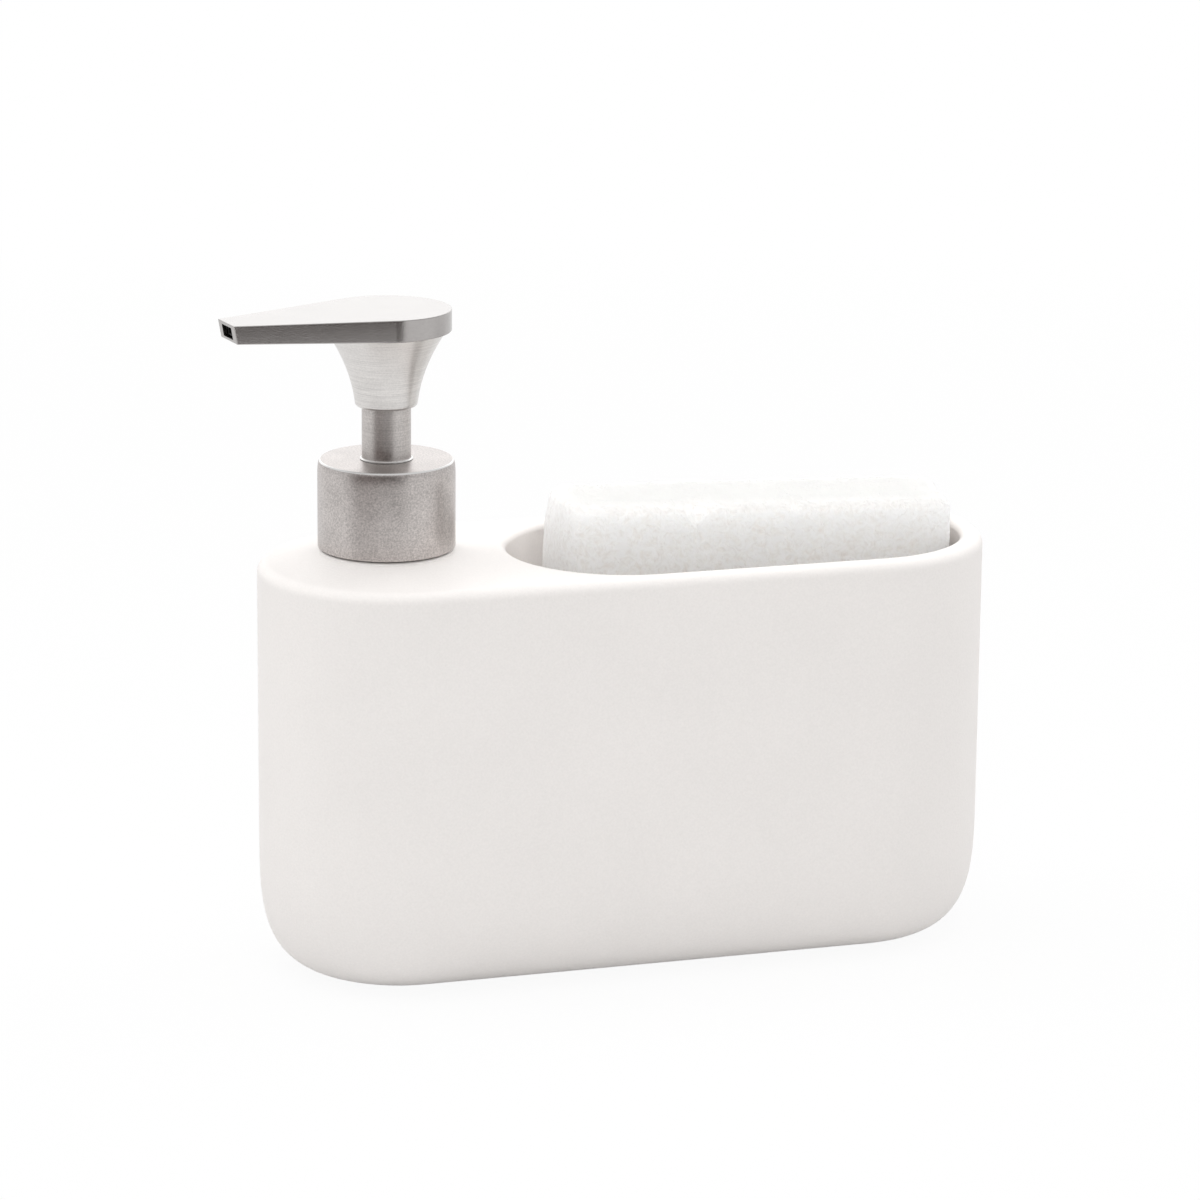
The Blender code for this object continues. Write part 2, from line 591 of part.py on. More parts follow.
def wire(name, points, radius, group, finish, parent):
    """A round wire along points, as a closed mesh."""
    curve = bpy.data.curves.new(name, "CURVE")
    curve.dimensions = "3D"
    curve.bevel_depth = radius
    curve.bevel_resolution = 1
    curve.use_fill_caps = True
    spline = curve.splines.new("POLY")
    spline.points.add(len(points) - 1)
    for point, place in zip(spline.points, points):
        point.co = (*place, 1.0)
    guide = bpy.data.objects.new(name, curve)
    bpy.context.scene.collection.objects.link(guide)
    mesh = bpy.data.meshes.new_from_object(guide.evaluated_get(bpy.context.evaluated_depsgraph_get()))
    bpy.data.objects.remove(guide)
    bpy.data.curves.remove(curve)
    shell = bmesh.new()
    shell.from_mesh(mesh)
    bmesh.ops.remove_doubles(shell, verts=shell.verts, dist=MERGE_DISTANCE)
    bmesh.ops.recalc_face_normals(shell, faces=shell.faces)
    shell.to_mesh(mesh)
    shell.free()
    smooth(mesh)
    return add_object(name, mesh, group, finish, parent)


def working_parts(parts, tools, white, steel, axis):
    """Spring, dip tube and inlet ball in the pump, and the piston with its rod and stem."""
    wire("return_spring", spring_points(), SPRING_WIRE_RADIUS, parts, steel, axis)
    tube_top = TUBE_SOCKET_Z - FIT
    tube_foot = CHAMBER_FLOOR + TUBE_FLOOR_GAP
    turned("dip_tube",
           [(TUBE_RADIUS, tube_top), (TUBE_RADIUS, tube_foot), (TUBE_RADIUS - TUBE_WALL, tube_foot),
            (TUBE_RADIUS - TUBE_WALL, tube_top)], parts, white, axis, steps=SMALL_TURN_STEPS)
    sphere = bmesh.new()
    bmesh.ops.create_uvsphere(sphere, u_segments=SMALL_TURN_STEPS, v_segments=SMALL_TURN_STEPS // 2,
                              radius=BALL_RADIUS)
    mesh = bpy.data.meshes.new("inlet_ball")
    sphere.to_mesh(mesh)
    sphere.free()
    smooth(mesh)
    ball = add_object("inlet_ball", mesh, parts, steel, axis)
    ball.location.z = BALL_Z
    lip = HOUSING_BORE - FIT
    bore = STEM_RADIUS + FIT
    waist = lip - PISTON_WAIST
    turned("piston",
           [(lip, PISTON_TOP_Z), (lip, PISTON_TOP_Z - PISTON_LIP), (waist, PISTON_TOP_Z - 2 * PISTON_LIP),
            (waist, PISTON_FOOT_Z + 2 * PISTON_LIP), (lip, PISTON_FOOT_Z + PISTON_LIP), (lip, PISTON_FOOT_Z),
            (bore, PISTON_FOOT_Z), (bore, PISTON_TOP_Z)], parts, white, axis, steps=SMALL_TURN_STEPS)
    shank = STEM_BORE_RADIUS - FIT
    turned("plunger_rod",
           [(0.0, ROD_FLANGE_TOP_Z + ROD_SHANK_LENGTH), (shank, ROD_FLANGE_TOP_Z + ROD_SHANK_LENGTH),
            (shank, ROD_FLANGE_TOP_Z), (ROD_FLANGE_RADIUS, ROD_FLANGE_TOP_Z),
            (ROD_FLANGE_RADIUS, ROD_FLANGE_FOOT_Z), (ROD_PIN_RADIUS, ROD_FLANGE_FOOT_Z),
            (ROD_PIN_RADIUS, ROD_FLANGE_FOOT_Z - ROD_PIN_LENGTH), (0.0, ROD_FLANGE_FOOT_Z - ROD_PIN_LENGTH)],
           parts, white, axis, closed=False, steps=SMALL_TURN_STEPS)
    stem = turned("stem",
                  [(STEM_RADIUS, STEM_TOP_Z), (STEM_RADIUS, STEM_FOOT_Z), (STEM_BORE_RADIUS, STEM_FOOT_Z),
                   (STEM_BORE_RADIUS, STEM_TOP_Z)], parts, white, axis, steps=SMALL_TURN_STEPS)
    port_z = ROD_FLANGE_TOP_Z + ROD_SHANK_LENGTH + 2 * STEM_PORT_RADIUS
    port = as_cutter(cylinder("port_form", STEM_PORT_RADIUS, -2 * STEM_RADIUS, 2 * STEM_RADIUS, tools,
                              PORT_STEPS, axis))
    port.location.z = port_z
    port.rotation_euler.x = math.pi / 2
    boolean(stem, port)


def cone_radius(height):
    """Outer radius of the flared cone at a height above its foot."""
    share = height / CONE_HEIGHT
    return CONE_FOOT_RADIUS + (CONE_TOP_RADIUS - CONE_FOOT_RADIUS) * (
        CONE_STRAIGHT_SHARE * share + (1 - CONE_STRAIGHT_SHARE) * share ** 2)


def cone_levels():
    """Heights of the cone's rings above its foot, from the top down to the foot's round."""
    run = CONE_HEIGHT - CONE_FOOT_ROUND
    return [CONE_HEIGHT - run * i / CONE_STEPS for i in range(CONE_STEPS + 1)]


def cone_inner_radius(height):
    """Inner radius of the cone, which is straight where it slides over the sleeve."""
    return max(CONE_BORE, cone_radius(height) - CONE_WALL)


def head_cone_and_core(parts, steel, white, axis):
    """The flared steel cone and the plastic core inside its top."""
    levels = cone_levels()
    outer = [(cone_radius(level), CONE_FOOT_Z + level) for level in levels]
    inner = [(cone_inner_radius(level), CONE_FOOT_Z + level) for level in reversed(levels)]
    turned("head_cone", outer + [(CONE_FOOT_RADIUS - CONE_FOOT_ROUND, CONE_FOOT_Z), (CONE_BORE, CONE_FOOT_Z)]
           + inner, parts, steel, axis)
    core_levels = [CONE_HEIGHT - CORE_HEIGHT * i / ROUND_STEPS for i in range(ROUND_STEPS + 1)]
    side = [(cone_inner_radius(level) - RUNNING_GAP, CONE_FOOT_Z + level) for level in core_levels]
    socket = STEM_RADIUS + FIT
    roof = CORE_TOP_Z - CORE_ROOF
    turned("actuator_core",
           side + [(socket, CORE_FOOT_Z), (socket, roof), (STEM_BORE_RADIUS, roof),
                   (STEM_BORE_RADIUS, CORE_TOP_Z)], parts, white, axis, steps=SMALL_TURN_STEPS)


def drop_outline():
    """The plate's outline: a round end and two straight sides that meet it smoothly."""
    half = SPOUT_WIDTH / 2
    distance = math.hypot(SPOUT_REACH, half)
    touch = math.atan2(half, SPOUT_REACH) + math.acos(PLATE_RADIUS / distance)
    sweep = 2 * (math.pi - touch)
    points = [(SPOUT_REACH, half)]
    for i in range(TURN_STEPS + 1):
        angle = touch + sweep * i / TURN_STEPS
        points.append((PLATE_RADIUS * math.cos(angle), PLATE_RADIUS * math.sin(angle)))
    return points + [(SPOUT_REACH, -half)]


def head_plate(parts, tools, steel, black, spout):
    """The drop-shaped plate, its spout hole and the black spout tube inside it."""
    curve = bpy.data.curves.new("plate", "CURVE")
    curve.dimensions = "2D"
    curve.fill_mode = "BOTH"
    curve.extrude = PLATE_THICKNESS / 2
    outline = drop_outline()
    spline = curve.splines.new("POLY")
    spline.points.add(len(outline) - 1)
    for point, (x, y) in zip(spline.points, outline):
        point.co = (x, y, 0.0, 1.0)
    spline.use_cyclic_u = True
    guide = bpy.data.objects.new("plate", curve)
    bpy.context.scene.collection.objects.link(guide)
    mesh = bpy.data.meshes.new_from_object(guide.evaluated_get(bpy.context.evaluated_depsgraph_get()))
    bpy.data.objects.remove(guide)
    bpy.data.curves.remove(curve)
    shell = bmesh.new()
    shell.from_mesh(mesh)
    bmesh.ops.translate(shell, verts=shell.verts, vec=(0.0, 0.0, PLATE_Z + PLATE_THICKNESS / 2))
    bmesh.ops.remove_doubles(shell, verts=shell.verts, dist=MERGE_DISTANCE)
    for vert in shell.verts:
        share = min(1.0, max(0.0, (vert.co.x - PLATE_RADIUS) / (SPOUT_REACH - PLATE_RADIUS)))
        if vert.co.z < PLATE_Z + PLATE_THICKNESS / 2:
            vert.co.z += PLATE_TIP_RISE * share
            vert.co.x -= PLATE_TIP_UNDERCUT * share
        else:
            vert.co.z -= PLATE_TIP_DROP * share
    bmesh.ops.recalc_face_normals(shell, faces=shell.faces)
    shell.to_mesh(mesh)
    shell.free()
    plate = add_object("head_plate", mesh, parts, steel, spout)
    bevel = plate.modifiers.new("Edge", "BEVEL")
    bevel.width = PLATE_EDGE_ROUND
    bevel.segments = 1
    bevel.limit_method = "ANGLE"
    bevel.angle_limit = SHARP_ANGLE
    middle = (PLATE_Z + PLATE_TIP_RISE + PLATE_TOP_Z - PLATE_TIP_DROP) / 2
    half_width = SPOUT_HOLE_WIDTH / 2
    half_height = SPOUT_HOLE_HEIGHT / 2
    back = -(SPOUT_INLET_RADIUS + SPOUT_TUBE_WALL + FIT)
    hole = as_cutter(box("spout_hole_form", (back - FIT, -half_width, middle - half_height),
                         (SPOUT_REACH + OVERRUN, half_width, middle + half_height), tools, parent=spout))
    boolean(plate, hole)
    boolean(plate, as_cutter(cylinder("plate_inlet_form", STEM_BORE_RADIUS, PLATE_Z - OVERRUN, middle, tools,
                                      parent=spout)))
    outer = (half_width - FIT, half_height - FIT)
    inner = (outer[0] - SPOUT_TUBE_WALL, outer[1] - SPOUT_TUBE_WALL)
    tip = SPOUT_REACH - PLATE_TIP_UNDERCUT - SPOUT_TUBE_SETBACK
    tube = box("spout_tube", (back, -outer[0], middle - outer[1]), (tip, outer[0], middle + outer[1]),
               parts, black, spout)
    boolean(tube, as_cutter(box("spout_duct_form",
                                (back + SPOUT_TUBE_WALL, -inner[0], middle - inner[1]),
                                (tip + OVERRUN, inner[0], middle + inner[1]), tools, parent=spout)))
    boolean(tube, as_cutter(cylinder("spout_inlet_form", SPOUT_INLET_RADIUS, PLATE_Z - OVERRUN, middle, tools,
                                     parent=spout)))


def sponge(parts, foam):
    """The block sponge, standing on its long edge on the well's floor."""
    half_length = SPONGE_LENGTH / 2
    half_thickness = SPONGE_THICKNESS / 2
    piece = box("sponge", (-half_length, -half_thickness, 0.0),
                (half_length, half_thickness, SPONGE_HEIGHT), parts, foam)
    bevel = piece.modifiers.new("Soft edge", "BEVEL")
    bevel.width = SPONGE_ROUND
    bevel.segments = SPONGE_ROUND_SEGMENTS
    piece.rotation_euler = (0.0, SPONGE_TILT, SPONGE_YAW)
    low_corner = half_length * math.sin(SPONGE_TILT)
    lean = SPONGE_HEIGHT / 2 * math.sin(SPONGE_TILT)
    piece.location = (WELL_X + SPONGE_SHIFT - lean, 0.0, WELL_FLOOR_Z + FIT + low_corner)


def empty(name, group, place, turn=0.0):
    """An empty that carries pieces."""
    made = bpy.data.objects.new(name, None)
    group.objects.link(made)
    made.location = place
    made.rotation_euler.z = turn
    return made


def main():
    for old in list(bpy.data.objects):
        bpy.data.objects.remove(old)
    parts = collection("Soap dispenser")
    tools = collection("Cutters")
    ceramic = material("Matte white ceramic", (0.84, 0.83, 0.81), 0.62)
    satin = material("Satin steel", (0.60, 0.57, 0.55), 0.34, 1.0)
    bright = material("Spring steel", (0.62, 0.62, 0.62), 0.25, 1.0)
    white = material("White moulded plastic", (0.80, 0.80, 0.78), 0.45)
    clear = material("Natural moulded plastic", (0.74, 0.75, 0.73), 0.35)
    black = material("Black moulded plastic", (0.02, 0.02, 0.02), 0.50)
    rubber = material("White silicone", (0.70, 0.70, 0.68), 0.70)
    gasket = material("Gasket foam", (0.86, 0.86, 0.84), 0.80)
    foam = material("White sponge", (0.88, 0.87, 0.84), 0.95)
    axis = empty("pump_axis", parts, (PUMP_X, 0.0, 0.0))
    spout = empty("spout_axis", parts, (PUMP_X, 0.0, 0.0), math.pi + SPOUT_YAW)
    vessel(parts, tools, ceramic)
    neck(parts, tools, white, rubber, axis)
    closure(parts, tools, white, satin, axis)
    housing(parts, tools, clear, axis)
    guide_and_sleeve(parts, white, satin, gasket, axis)
    working_parts(parts, tools, clear, bright, axis)
    head_cone_and_core(parts, satin, white, axis)
    head_plate(parts, tools, satin, black, spout)
    sponge(parts, foam)


main()
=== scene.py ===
import math

import bmesh
import bpy
from mathutils import Matrix, Vector, noise


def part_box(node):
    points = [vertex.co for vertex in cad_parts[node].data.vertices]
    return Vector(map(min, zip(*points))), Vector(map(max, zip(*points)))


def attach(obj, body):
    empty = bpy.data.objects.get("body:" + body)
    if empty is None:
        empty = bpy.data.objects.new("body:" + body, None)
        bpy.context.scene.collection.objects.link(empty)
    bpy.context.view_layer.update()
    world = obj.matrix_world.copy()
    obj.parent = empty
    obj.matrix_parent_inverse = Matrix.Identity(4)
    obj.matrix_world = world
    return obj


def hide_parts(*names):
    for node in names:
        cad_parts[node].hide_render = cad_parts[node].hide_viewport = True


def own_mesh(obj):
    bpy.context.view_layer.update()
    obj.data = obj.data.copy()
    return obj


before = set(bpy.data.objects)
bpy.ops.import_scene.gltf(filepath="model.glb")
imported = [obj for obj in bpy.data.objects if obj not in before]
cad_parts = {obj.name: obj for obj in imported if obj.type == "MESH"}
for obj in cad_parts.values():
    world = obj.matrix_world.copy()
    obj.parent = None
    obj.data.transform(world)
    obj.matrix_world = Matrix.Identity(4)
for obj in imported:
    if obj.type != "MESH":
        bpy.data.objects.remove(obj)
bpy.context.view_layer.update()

# Lengths are in metres where nothing else is said.

# The photograph's camera
IMAGE_WIDTH = 1200
SENSOR_WIDTH = 36.0
FOCAL_PIXELS = 5132.3
CAMERA_AZIMUTH = math.radians(17.49)
CAMERA_ELEVATION = math.radians(14.715)
CAMERA_ROLL = math.radians(0.518)
CAMERA_DISTANCE = 1.22128
AIM_POINT = Vector((0.0, 0.0, 0.050))
AIM_PIXEL = (622.58, 740.05)

# Studio
WHITE = (1.0, 1.0, 1.0)
WARM = (1.0, 0.80, 0.75)
ROOM_LEVEL = 0.376
ROOM_LEVEL_IN_STEEL = 0.8
FLOOR_SIZE = 8.0
FLOOR_COLOUR = (0.78, 0.78, 0.78)
FLOOR_GLOW_NEAR = (0.30, 0.93)       # distance from the middle, share of pure white
FLOOR_GLOW_FAR = (0.90, 1.00)
LAMP_TARGET = Vector((0.0, 0.0, 0.08))
LAMPS = (    # name, place, side, watts
    ("top_lamp", (-0.10, 0.05, 1.20), 1.2, 11.0),
    ("front_lamp", (-0.25, -1.15, 0.55), 0.9, 4.35),
    ("left_lamp", (-0.90, 0.45, 0.60), 0.8, 3.5),
    ("right_lamp", (1.00, 0.20, 0.50), 0.8, 4.0),
)
REFLECTION_CARDS = (    # name, bearing and spread in degrees, distance, foot, top, level, tint
    ("front_card", 263.0, 44.0, 0.44, 0.028, 0.320, 0.09, WARM),
    ("left_card", 218.0, 46.0, 0.44, 0.000, 0.300, 0.16, WARM),
    ("right_card", 6.0, 30.0, 0.44, 0.000, 0.037, 0.10, WARM),
    ("back_wall", 75.0, 84.0, 1.30, 0.200, 1.300, 1.58, WHITE),
)

# Colours: the darkest and the lightest grain, or the middle one of a turned steel
CERAMIC = ((0.836, 0.806, 0.785), (0.879, 0.847, 0.825))
CERAMIC_PIT = (0.42, 0.39, 0.36)
COLLAR_STEEL = (0.545, 0.510, 0.494)
SLEEVE_STEEL = (0.545, 0.515, 0.498)
CONE_STEEL = (0.685, 0.665, 0.648)
SPRING_STEEL = (0.62, 0.62, 0.61)
# Painted highlight: the bright colour of the bands at the collar's rim and the sleeve's foot
PAINTED_HIGHLIGHT_STEEL = (0.80, 0.795, 0.785)
PLATE_STEEL = ((0.378, 0.361, 0.352), (0.478, 0.461, 0.450))
WHITE_PLASTIC = ((0.78, 0.78, 0.76), (0.83, 0.83, 0.81))
NATURAL_PLASTIC = ((0.71, 0.72, 0.70), (0.77, 0.78, 0.76))
BLACK_PLASTIC = ((0.015, 0.015, 0.015), (0.026, 0.026, 0.025))
SILICONE = ((0.67, 0.67, 0.65), (0.72, 0.72, 0.70))
GASKET_FOAM = ((0.76, 0.76, 0.74), (0.88, 0.88, 0.86))
SPONGE_FOAM = ((0.880, 0.842, 0.814), (1.000, 0.974, 0.950))
# Painted shade: the duller colour that darkens the sponge's brightly lit top
SPONGE_PAINTED_SHADE = (0.672, 0.668, 0.655)

# Ceramic vessel
BODY_HALF_RUN = 0.0550
BODY_RADIUS = 0.0330
BODY_HEIGHT = 0.0980
DECK_ROUND = 0.0026
BASE_ROUND_INWARD = 0.0240
BASE_ROUND_UPWARD = 0.0330
BASE_SQUARENESS = 3.5
WELL_X = 0.02725
WELL_HALF_RUN = 0.02775
WELL_RADIUS = 0.0275
WELL_FLOOR = 0.0410
WELL_LIP_ROUND = 0.0016
WELL_FLOOR_ROUND = 0.0050
WELL_DIVIDER = 0.0050
CHAMBER_FLOOR = 0.0060
CHAMBER_TOP = 0.0918
CHAMBER_CORNER_ROUND = 0.0040
CHAMBER_BASE_INWARD = 0.02125
SEAT_RADIUS = 0.0158
SEAT_ROUND = 0.0006
SHOULDER_FOOT_RADIUS = 0.0272
MOUTH_RADIUS = 0.0132
CUT_OVERRUN = 0.0040

# Closure, sleeve and cone
COVER_RADIUS = 0.0160
COVER_BORE = 0.0154
COVER_HOLE = 0.0061
COVER_ROOF = 0.0008
COVER_TOP_INWARD = 0.0009
COVER_TOP_FALL = 0.0042
COVER_TOP_SQUARENESS = 2.9
COVER_FOOT_ROUND = 0.00035
COVER_HIGHLIGHT_BAND = (-0.00038, -0.00002)    # painted highlight on the rim, measured from the cover's top
# Painted highlight: a bright band on the sleeve's flared foot, measured from the cover's top
SLEEVE_HIGHLIGHT_BAND = (0.0, 0.00040)
SLEEVE_RADIUS = 0.0057
SLEEVE_BORE = 0.0052
SLEEVE_FLARE = 0.00045
SLEEVE_RIM = 0.00012
SLEEVE_GAP = 0.00008
CONE_FOOT_RADIUS = 0.0072
CONE_TOP_RADIUS = 0.0137
CONE_BORE = 0.0061
CONE_WALL = 0.0011
CONE_FOOT_ROUND = 0.0010
CONE_STRAIGHT_SHARE = 0.23

# Plate and spout
PLATE_RADIUS = 0.0151
PLATE_TIP_RISE = 0.0006
PLATE_TIP_DROP = 0.0002
PLATE_TIP_UNDERCUT = 0.0008
PLATE_EDGE_ROUND = 0.00025
PLATE_SIDE_DROP = 0.0006
SPOUT_REACH = 0.0396
SPOUT_WIDTH = 0.0097
SPOUT_TURN = math.pi + math.radians(8.7)
SPOUT_HOLE = (0.0056, 0.0028)        # width, height
SPOUT_TUBE_WIDTH = 0.0050
SPOUT_DUCT = (0.0042, 0.0014)
SPOUT_INLET_RADIUS = 0.0015
SPOUT_BACK = 0.0022
SPOUT_SETBACK = 0.0008

# Inner pump
NECK_BORE = 0.0109
NECK_RADIUS = 0.0125
NECK_FLANGE_RADIUS = 0.0148
NECK_FLANGE = 0.0016
SPIGOT_RADIUS = 0.0119
SPIGOT_LEAD = 0.0005
SEAT_GAP = 0.0003
THREAD_PITCH = 0.004233
THREAD_CREST = 0.0136
CAP_BORE = 0.0139
CAP_THREAD_CREST = 0.0128
CAP_WEB = 0.0012
THREAD_ROOT_WIDTH = 0.0021
THREAD_CREST_WIDTH = 0.0010
THREAD_EMBED = 0.0004
NECK_THREAD_START = 0.1071
NECK_THREAD_TURNS = 1.5
CAP_THREAD_TURNS = 1.0
SEAL_BORE = 0.0122
SEAL_RADIUS = 0.0126
SEAL_RIB = 0.0003
SEAL_RIBS = 3
SEAL_RIB_SHAPE = ((0.0, 0.0), (0.3, 0.7), (0.5, 1.0), (0.7, 0.7))    # shares of pitch and rib
GASKET_BORE = 0.0085
FLANGE_RADIUS = 0.0125
HOUSING_RADIUS = 0.0082
HOUSING_BORE = 0.0070
HOUSING_FLANGE = 0.0014
TUBE_SOCKET_RADIUS = 0.0035
TUBE_NOSE_RADIUS = 0.0046
TUBE_SOCKET_TOP = 0.06518
INLET_RADIUS = 0.0016
BALL_SEAT = 0.06668
BALL_CHAMBER_RADIUS = 0.0031
RETAINER_RADIUS = 0.0019
RETAINER_FOOT = 0.0731
SPRING_SEAT = 0.0745
HOUSING_TAPER_FOOT = 0.0701
BYPASS_WIDTH = 0.0012
GUIDE_FLANGE = 0.0014
GUIDE_PLUG_RADIUS = 0.0067
GUIDE_BORE = 0.0040
GUIDE_UPSTAND_RADIUS = 0.0049
GUIDE_FLANGE_FOOT = 0.1184
STEM_RADIUS = 0.0036
STEM_BORE = 0.0022
STEM_PORT_RADIUS = 0.0008
STEM_PORT_HEIGHT = 0.1103
PISTON_RADIUS = 0.0067
PISTON_BORE = 0.0039
PISTON_WAIST = 0.0058
PISTON_LIP = 0.0008
ROD_FLANGE_RADIUS = 0.0054
ROD_FLANGE = (0.1021, 0.1037)        # foot, top
ROD_PIN_RADIUS = 0.0030
ROD_SHANK_RADIUS = 0.0019
SPRING_RADIUS = 0.0046
SPRING_WIRE_RADIUS = 0.00045
SPRING_COILS = 8
SPRING_DEAD_COILS = 1
SPRING_DEAD_RISE = 0.0013
COIL_POINTS = 32
TUBE_RADIUS = 0.0032
TUBE_BORE = 0.0023
CORE_SOCKET = 0.0039
CORE_GAP = 0.0004
CORE_ROOF = 0.0010

# Sponge
SPONGE_LENGTH = 0.0939
SPONGE_THICKNESS = 0.0240
SPONGE_HEIGHT = 0.0668
SPONGE_ROUND = 0.0014
SPONGE_YAW = math.radians(-3.4)
SPONGE_TILT = math.radians(1.45)
SPONGE_PLACE = (0.028902, 0.0, 0.042483)
SPONGE_OBLIQUE_CUT = 0.0024
SPONGE_GRID = 0.00052
SPONGE_WEAR_REACH = 0.0050
SPONGE_WEAR_DEPTH = 0.0012
SPONGE_WEAR_SHARES = (0.6, 0.8)      # inwards, downwards
SPONGE_CHIPS = (    # centre along the sponge, half width, height, depth
    (-0.0157, 0.0040, 0.0064, 0.0034),
    (0.0086, 0.0022, 0.0042, 0.0024),
)
SPONGE_CORNER_REACH = 0.0050
SPONGE_CORNER_IN = 0.00125
SPONGE_LEFT_CORNER = (0.55, 0.00135)     # flatness, drop
SPONGE_RIGHT_CORNER = (0.60, 0.00180)
SPONGE_END_ROUND = 0.0070
SPONGE_END_ROUND_DEPTH = 0.0018
SPONGE_FREE_HEIGHT = 0.0585
SPONGE_BULGE = 0.0022
# How far down from the sponge's top the painted shade reaches
SPONGE_PAINTED_SHADE_DEPTH = 0.0026
SPONGE_TOP = SPONGE_PLACE[2] + (
    SPONGE_HEIGHT + SPONGE_PLACE[0] * math.sin(SPONGE_TILT)) / math.cos(SPONGE_TILT)

# The sponge's skin, in millimetres
MILLIMETRE = 0.001
CELL_SPACING = 1.3
CELL_DEPTH = 0.16
CELL_REACH = 1.0 / 2.2      # in spacings
SHUT_CELLS = 0.45           # share without a pit
CRUMB_SPACING = 0.9
CRUMB_DEPTH = 0.08
SWELL_SPACING = 7.0
SWELL_DEPTH = 0.22

# Steps round the turns and over the rounded edges
BODY_STEPS = 72
BASE_STEPS = 22
TURN_STEPS = 128
SMALL_TURN_STEPS = 64
ROUND_STEPS = 6
SHOULDER_STEPS = 18
CONE_STEPS = 22
MERGE_DISTANCE = 0.000002
SMOOTH_ANGLE = math.radians(32)


def span(node):
    """The heights of a CAD node's foot and top."""
    foot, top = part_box(node)
    return foot.z, top.z


PUMP_X = sum(corner.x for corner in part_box("pump_housing")) / 2
SEAT_HEIGHT = span("ceramic_vessel")[1]
COVER_TOP = span("collar_cover")[1]


class Wire:
    """An output of a node. Sums and comparisons of wires add the Math nodes that work them out."""

    def __init__(self, graph, socket):
        self.graph = graph
        self.socket = socket

    def math(self, operation, *values):
        return self.graph.node("ShaderNodeMath", {"operation": operation}, dict(enumerate(values)))

    def __add__(self, other):
        return self.math("ADD", self, other)

    def __sub__(self, other):
        return self.math("SUBTRACT", self, other)

    def __rsub__(self, other):
        return self.math("SUBTRACT", other, self)

    def __mul__(self, other):
        return self.math("MULTIPLY", self, other)

    def __pow__(self, other):
        return self.math("POWER", self, other)

    def __gt__(self, other):
        return self.math("GREATER_THAN", self, other)

    def __lt__(self, other):
        return self.math("LESS_THAN", self, other)

    __radd__ = __add__
    __rmul__ = __mul__


class Graph:
    """The nodes of a material or of the world, and the one way to add to them."""

    def __init__(self, owner, empty=True):
        owner.use_nodes = True
        self.tree = owner.node_tree
        if empty:
            self.tree.nodes.clear()

    def node(self, kind, settings=None, inputs=None, output=0):
        """Add a node with its settings, feed its sockets, and return one of its outputs."""
        made = self.tree.nodes.new(kind)
        for name, value in (settings or {}).items():
            if name == "stops":
                self.set_stops(made.color_ramp, value)
            else:
                setattr(made, name, value)
        for name, value in (inputs or {}).items():
            self.feed(made.inputs[name], value)
        return Wire(self, made.outputs[output]) if made.outputs else None

    def set_stops(self, ramp, stops):
        while len(ramp.elements) < len(stops):
            ramp.elements.new(1.0)
        for element, (place, level) in zip(ramp.elements, stops):
            element.position = place
            element.color = (level, level, level, 1.0)

    def feed(self, socket, value):
        """Link a wire to a socket, or set the socket's own value."""
        if isinstance(value, Wire):
            self.tree.links.new(value.socket, socket)
        else:
            socket.default_value = (*value, 1.0) if socket.type == "RGBA" else value

    def ray(self, kind):
        return self.node("ShaderNodeLightPath", output=f"Is {kind} Ray")

    def seen(self):
        """1 for camera, glossy and transmission rays, which see the white background."""
        seen = self.ray("Camera")
        for kind in ("Glossy", "Transmission"):
            seen = seen.math("MAXIMUM", seen, self.ray(kind))
        return seen


class Finish(Graph):
    """A Principled material, whose look varies over the piece."""

    def __init__(self, name, **constants):
        self.material = bpy.data.materials.new(name)
        super().__init__(self.material, empty=False)
        self.shader = self.tree.nodes["Principled BSDF"]
        for socket, value in constants.items():
            self.shader.inputs[socket.replace("_", " ")].default_value = value

    def place(self, centre=(0.0, 0.0, 0.0), stretch=(1.0, 1.0, 1.0), turn=0.0):
        """The place on the piece, measured from a centre, turned and stretched."""
        here = self.node("ShaderNodeTexCoord", output="Object")
        moved = self.node("ShaderNodeMapping", {"vector_type": "TEXTURE"},
                          {"Vector": here, "Location": centre, "Rotation": (0.0, 0.0, turn)})
        return self.node("ShaderNodeVectorMath", {"operation": "MULTIPLY"}, {0: moved, 1: stretch})

    def part(self, vector, axis):
        """One of a vector's three numbers."""
        return self.node("ShaderNodeSeparateXYZ", {}, {0: vector}, axis)

    def grain(self, place, scale, detail=2.0, roughness=0.5, distortion=0.0):
        """Noise from 0 to 1 whose grains are about 1 / scale metres apart."""
        return self.node("ShaderNodeTexNoise", {}, {"Vector": place, "Scale": scale, "Detail": detail,
                                                    "Roughness": roughness, "Distortion": distortion})

    def marks(self, place, scale, left_out):
        """Tiny marks about 1 / scale metres apart, of which a share is left out."""
        near, cell = (self.node("ShaderNodeTexVoronoi", {}, {"Vector": place, "Scale": scale}, output)
                      for output in ("Distance", "Color"))
        pick = self.node("ShaderNodeSeparateColor", {}, {0: cell})
        return self.ramp(near, (0.0, 1.0), (0.018, 0.8), (0.032, 0.0)) * self.ramp(
            pick, (left_out, 0.0), (left_out + 0.01, 1.0))

    def ramp(self, value, *stops):
        """A value put through a ramp of (place, level) stops."""
        return self.node("ShaderNodeValToRGB", {"stops": stops}, {"Fac": value})

    def shade(self, mask, first, second):
        """The first colour where the mask is 0, the second where it is 1."""
        return self.node("ShaderNodeMix", {"data_type": "RGBA"}, {0: mask, 6: first, 7: second}, 2)

    def colour(self, value):
        self.feed(self.shader.inputs["Base Color"], value)

    def roughness(self, value):
        self.feed(self.shader.inputs["Roughness"], value)

    def relief(self, height, distance):
        """Bump the surface by a height from 0 to 1 times a distance in metres."""
        bump = self.node("ShaderNodeBump", {}, {"Height": height, "Distance": distance})
        self.feed(self.shader.inputs["Normal"], bump)


def scaled(colour, share):
    return tuple(min(1.0, part * share) for part in colour)


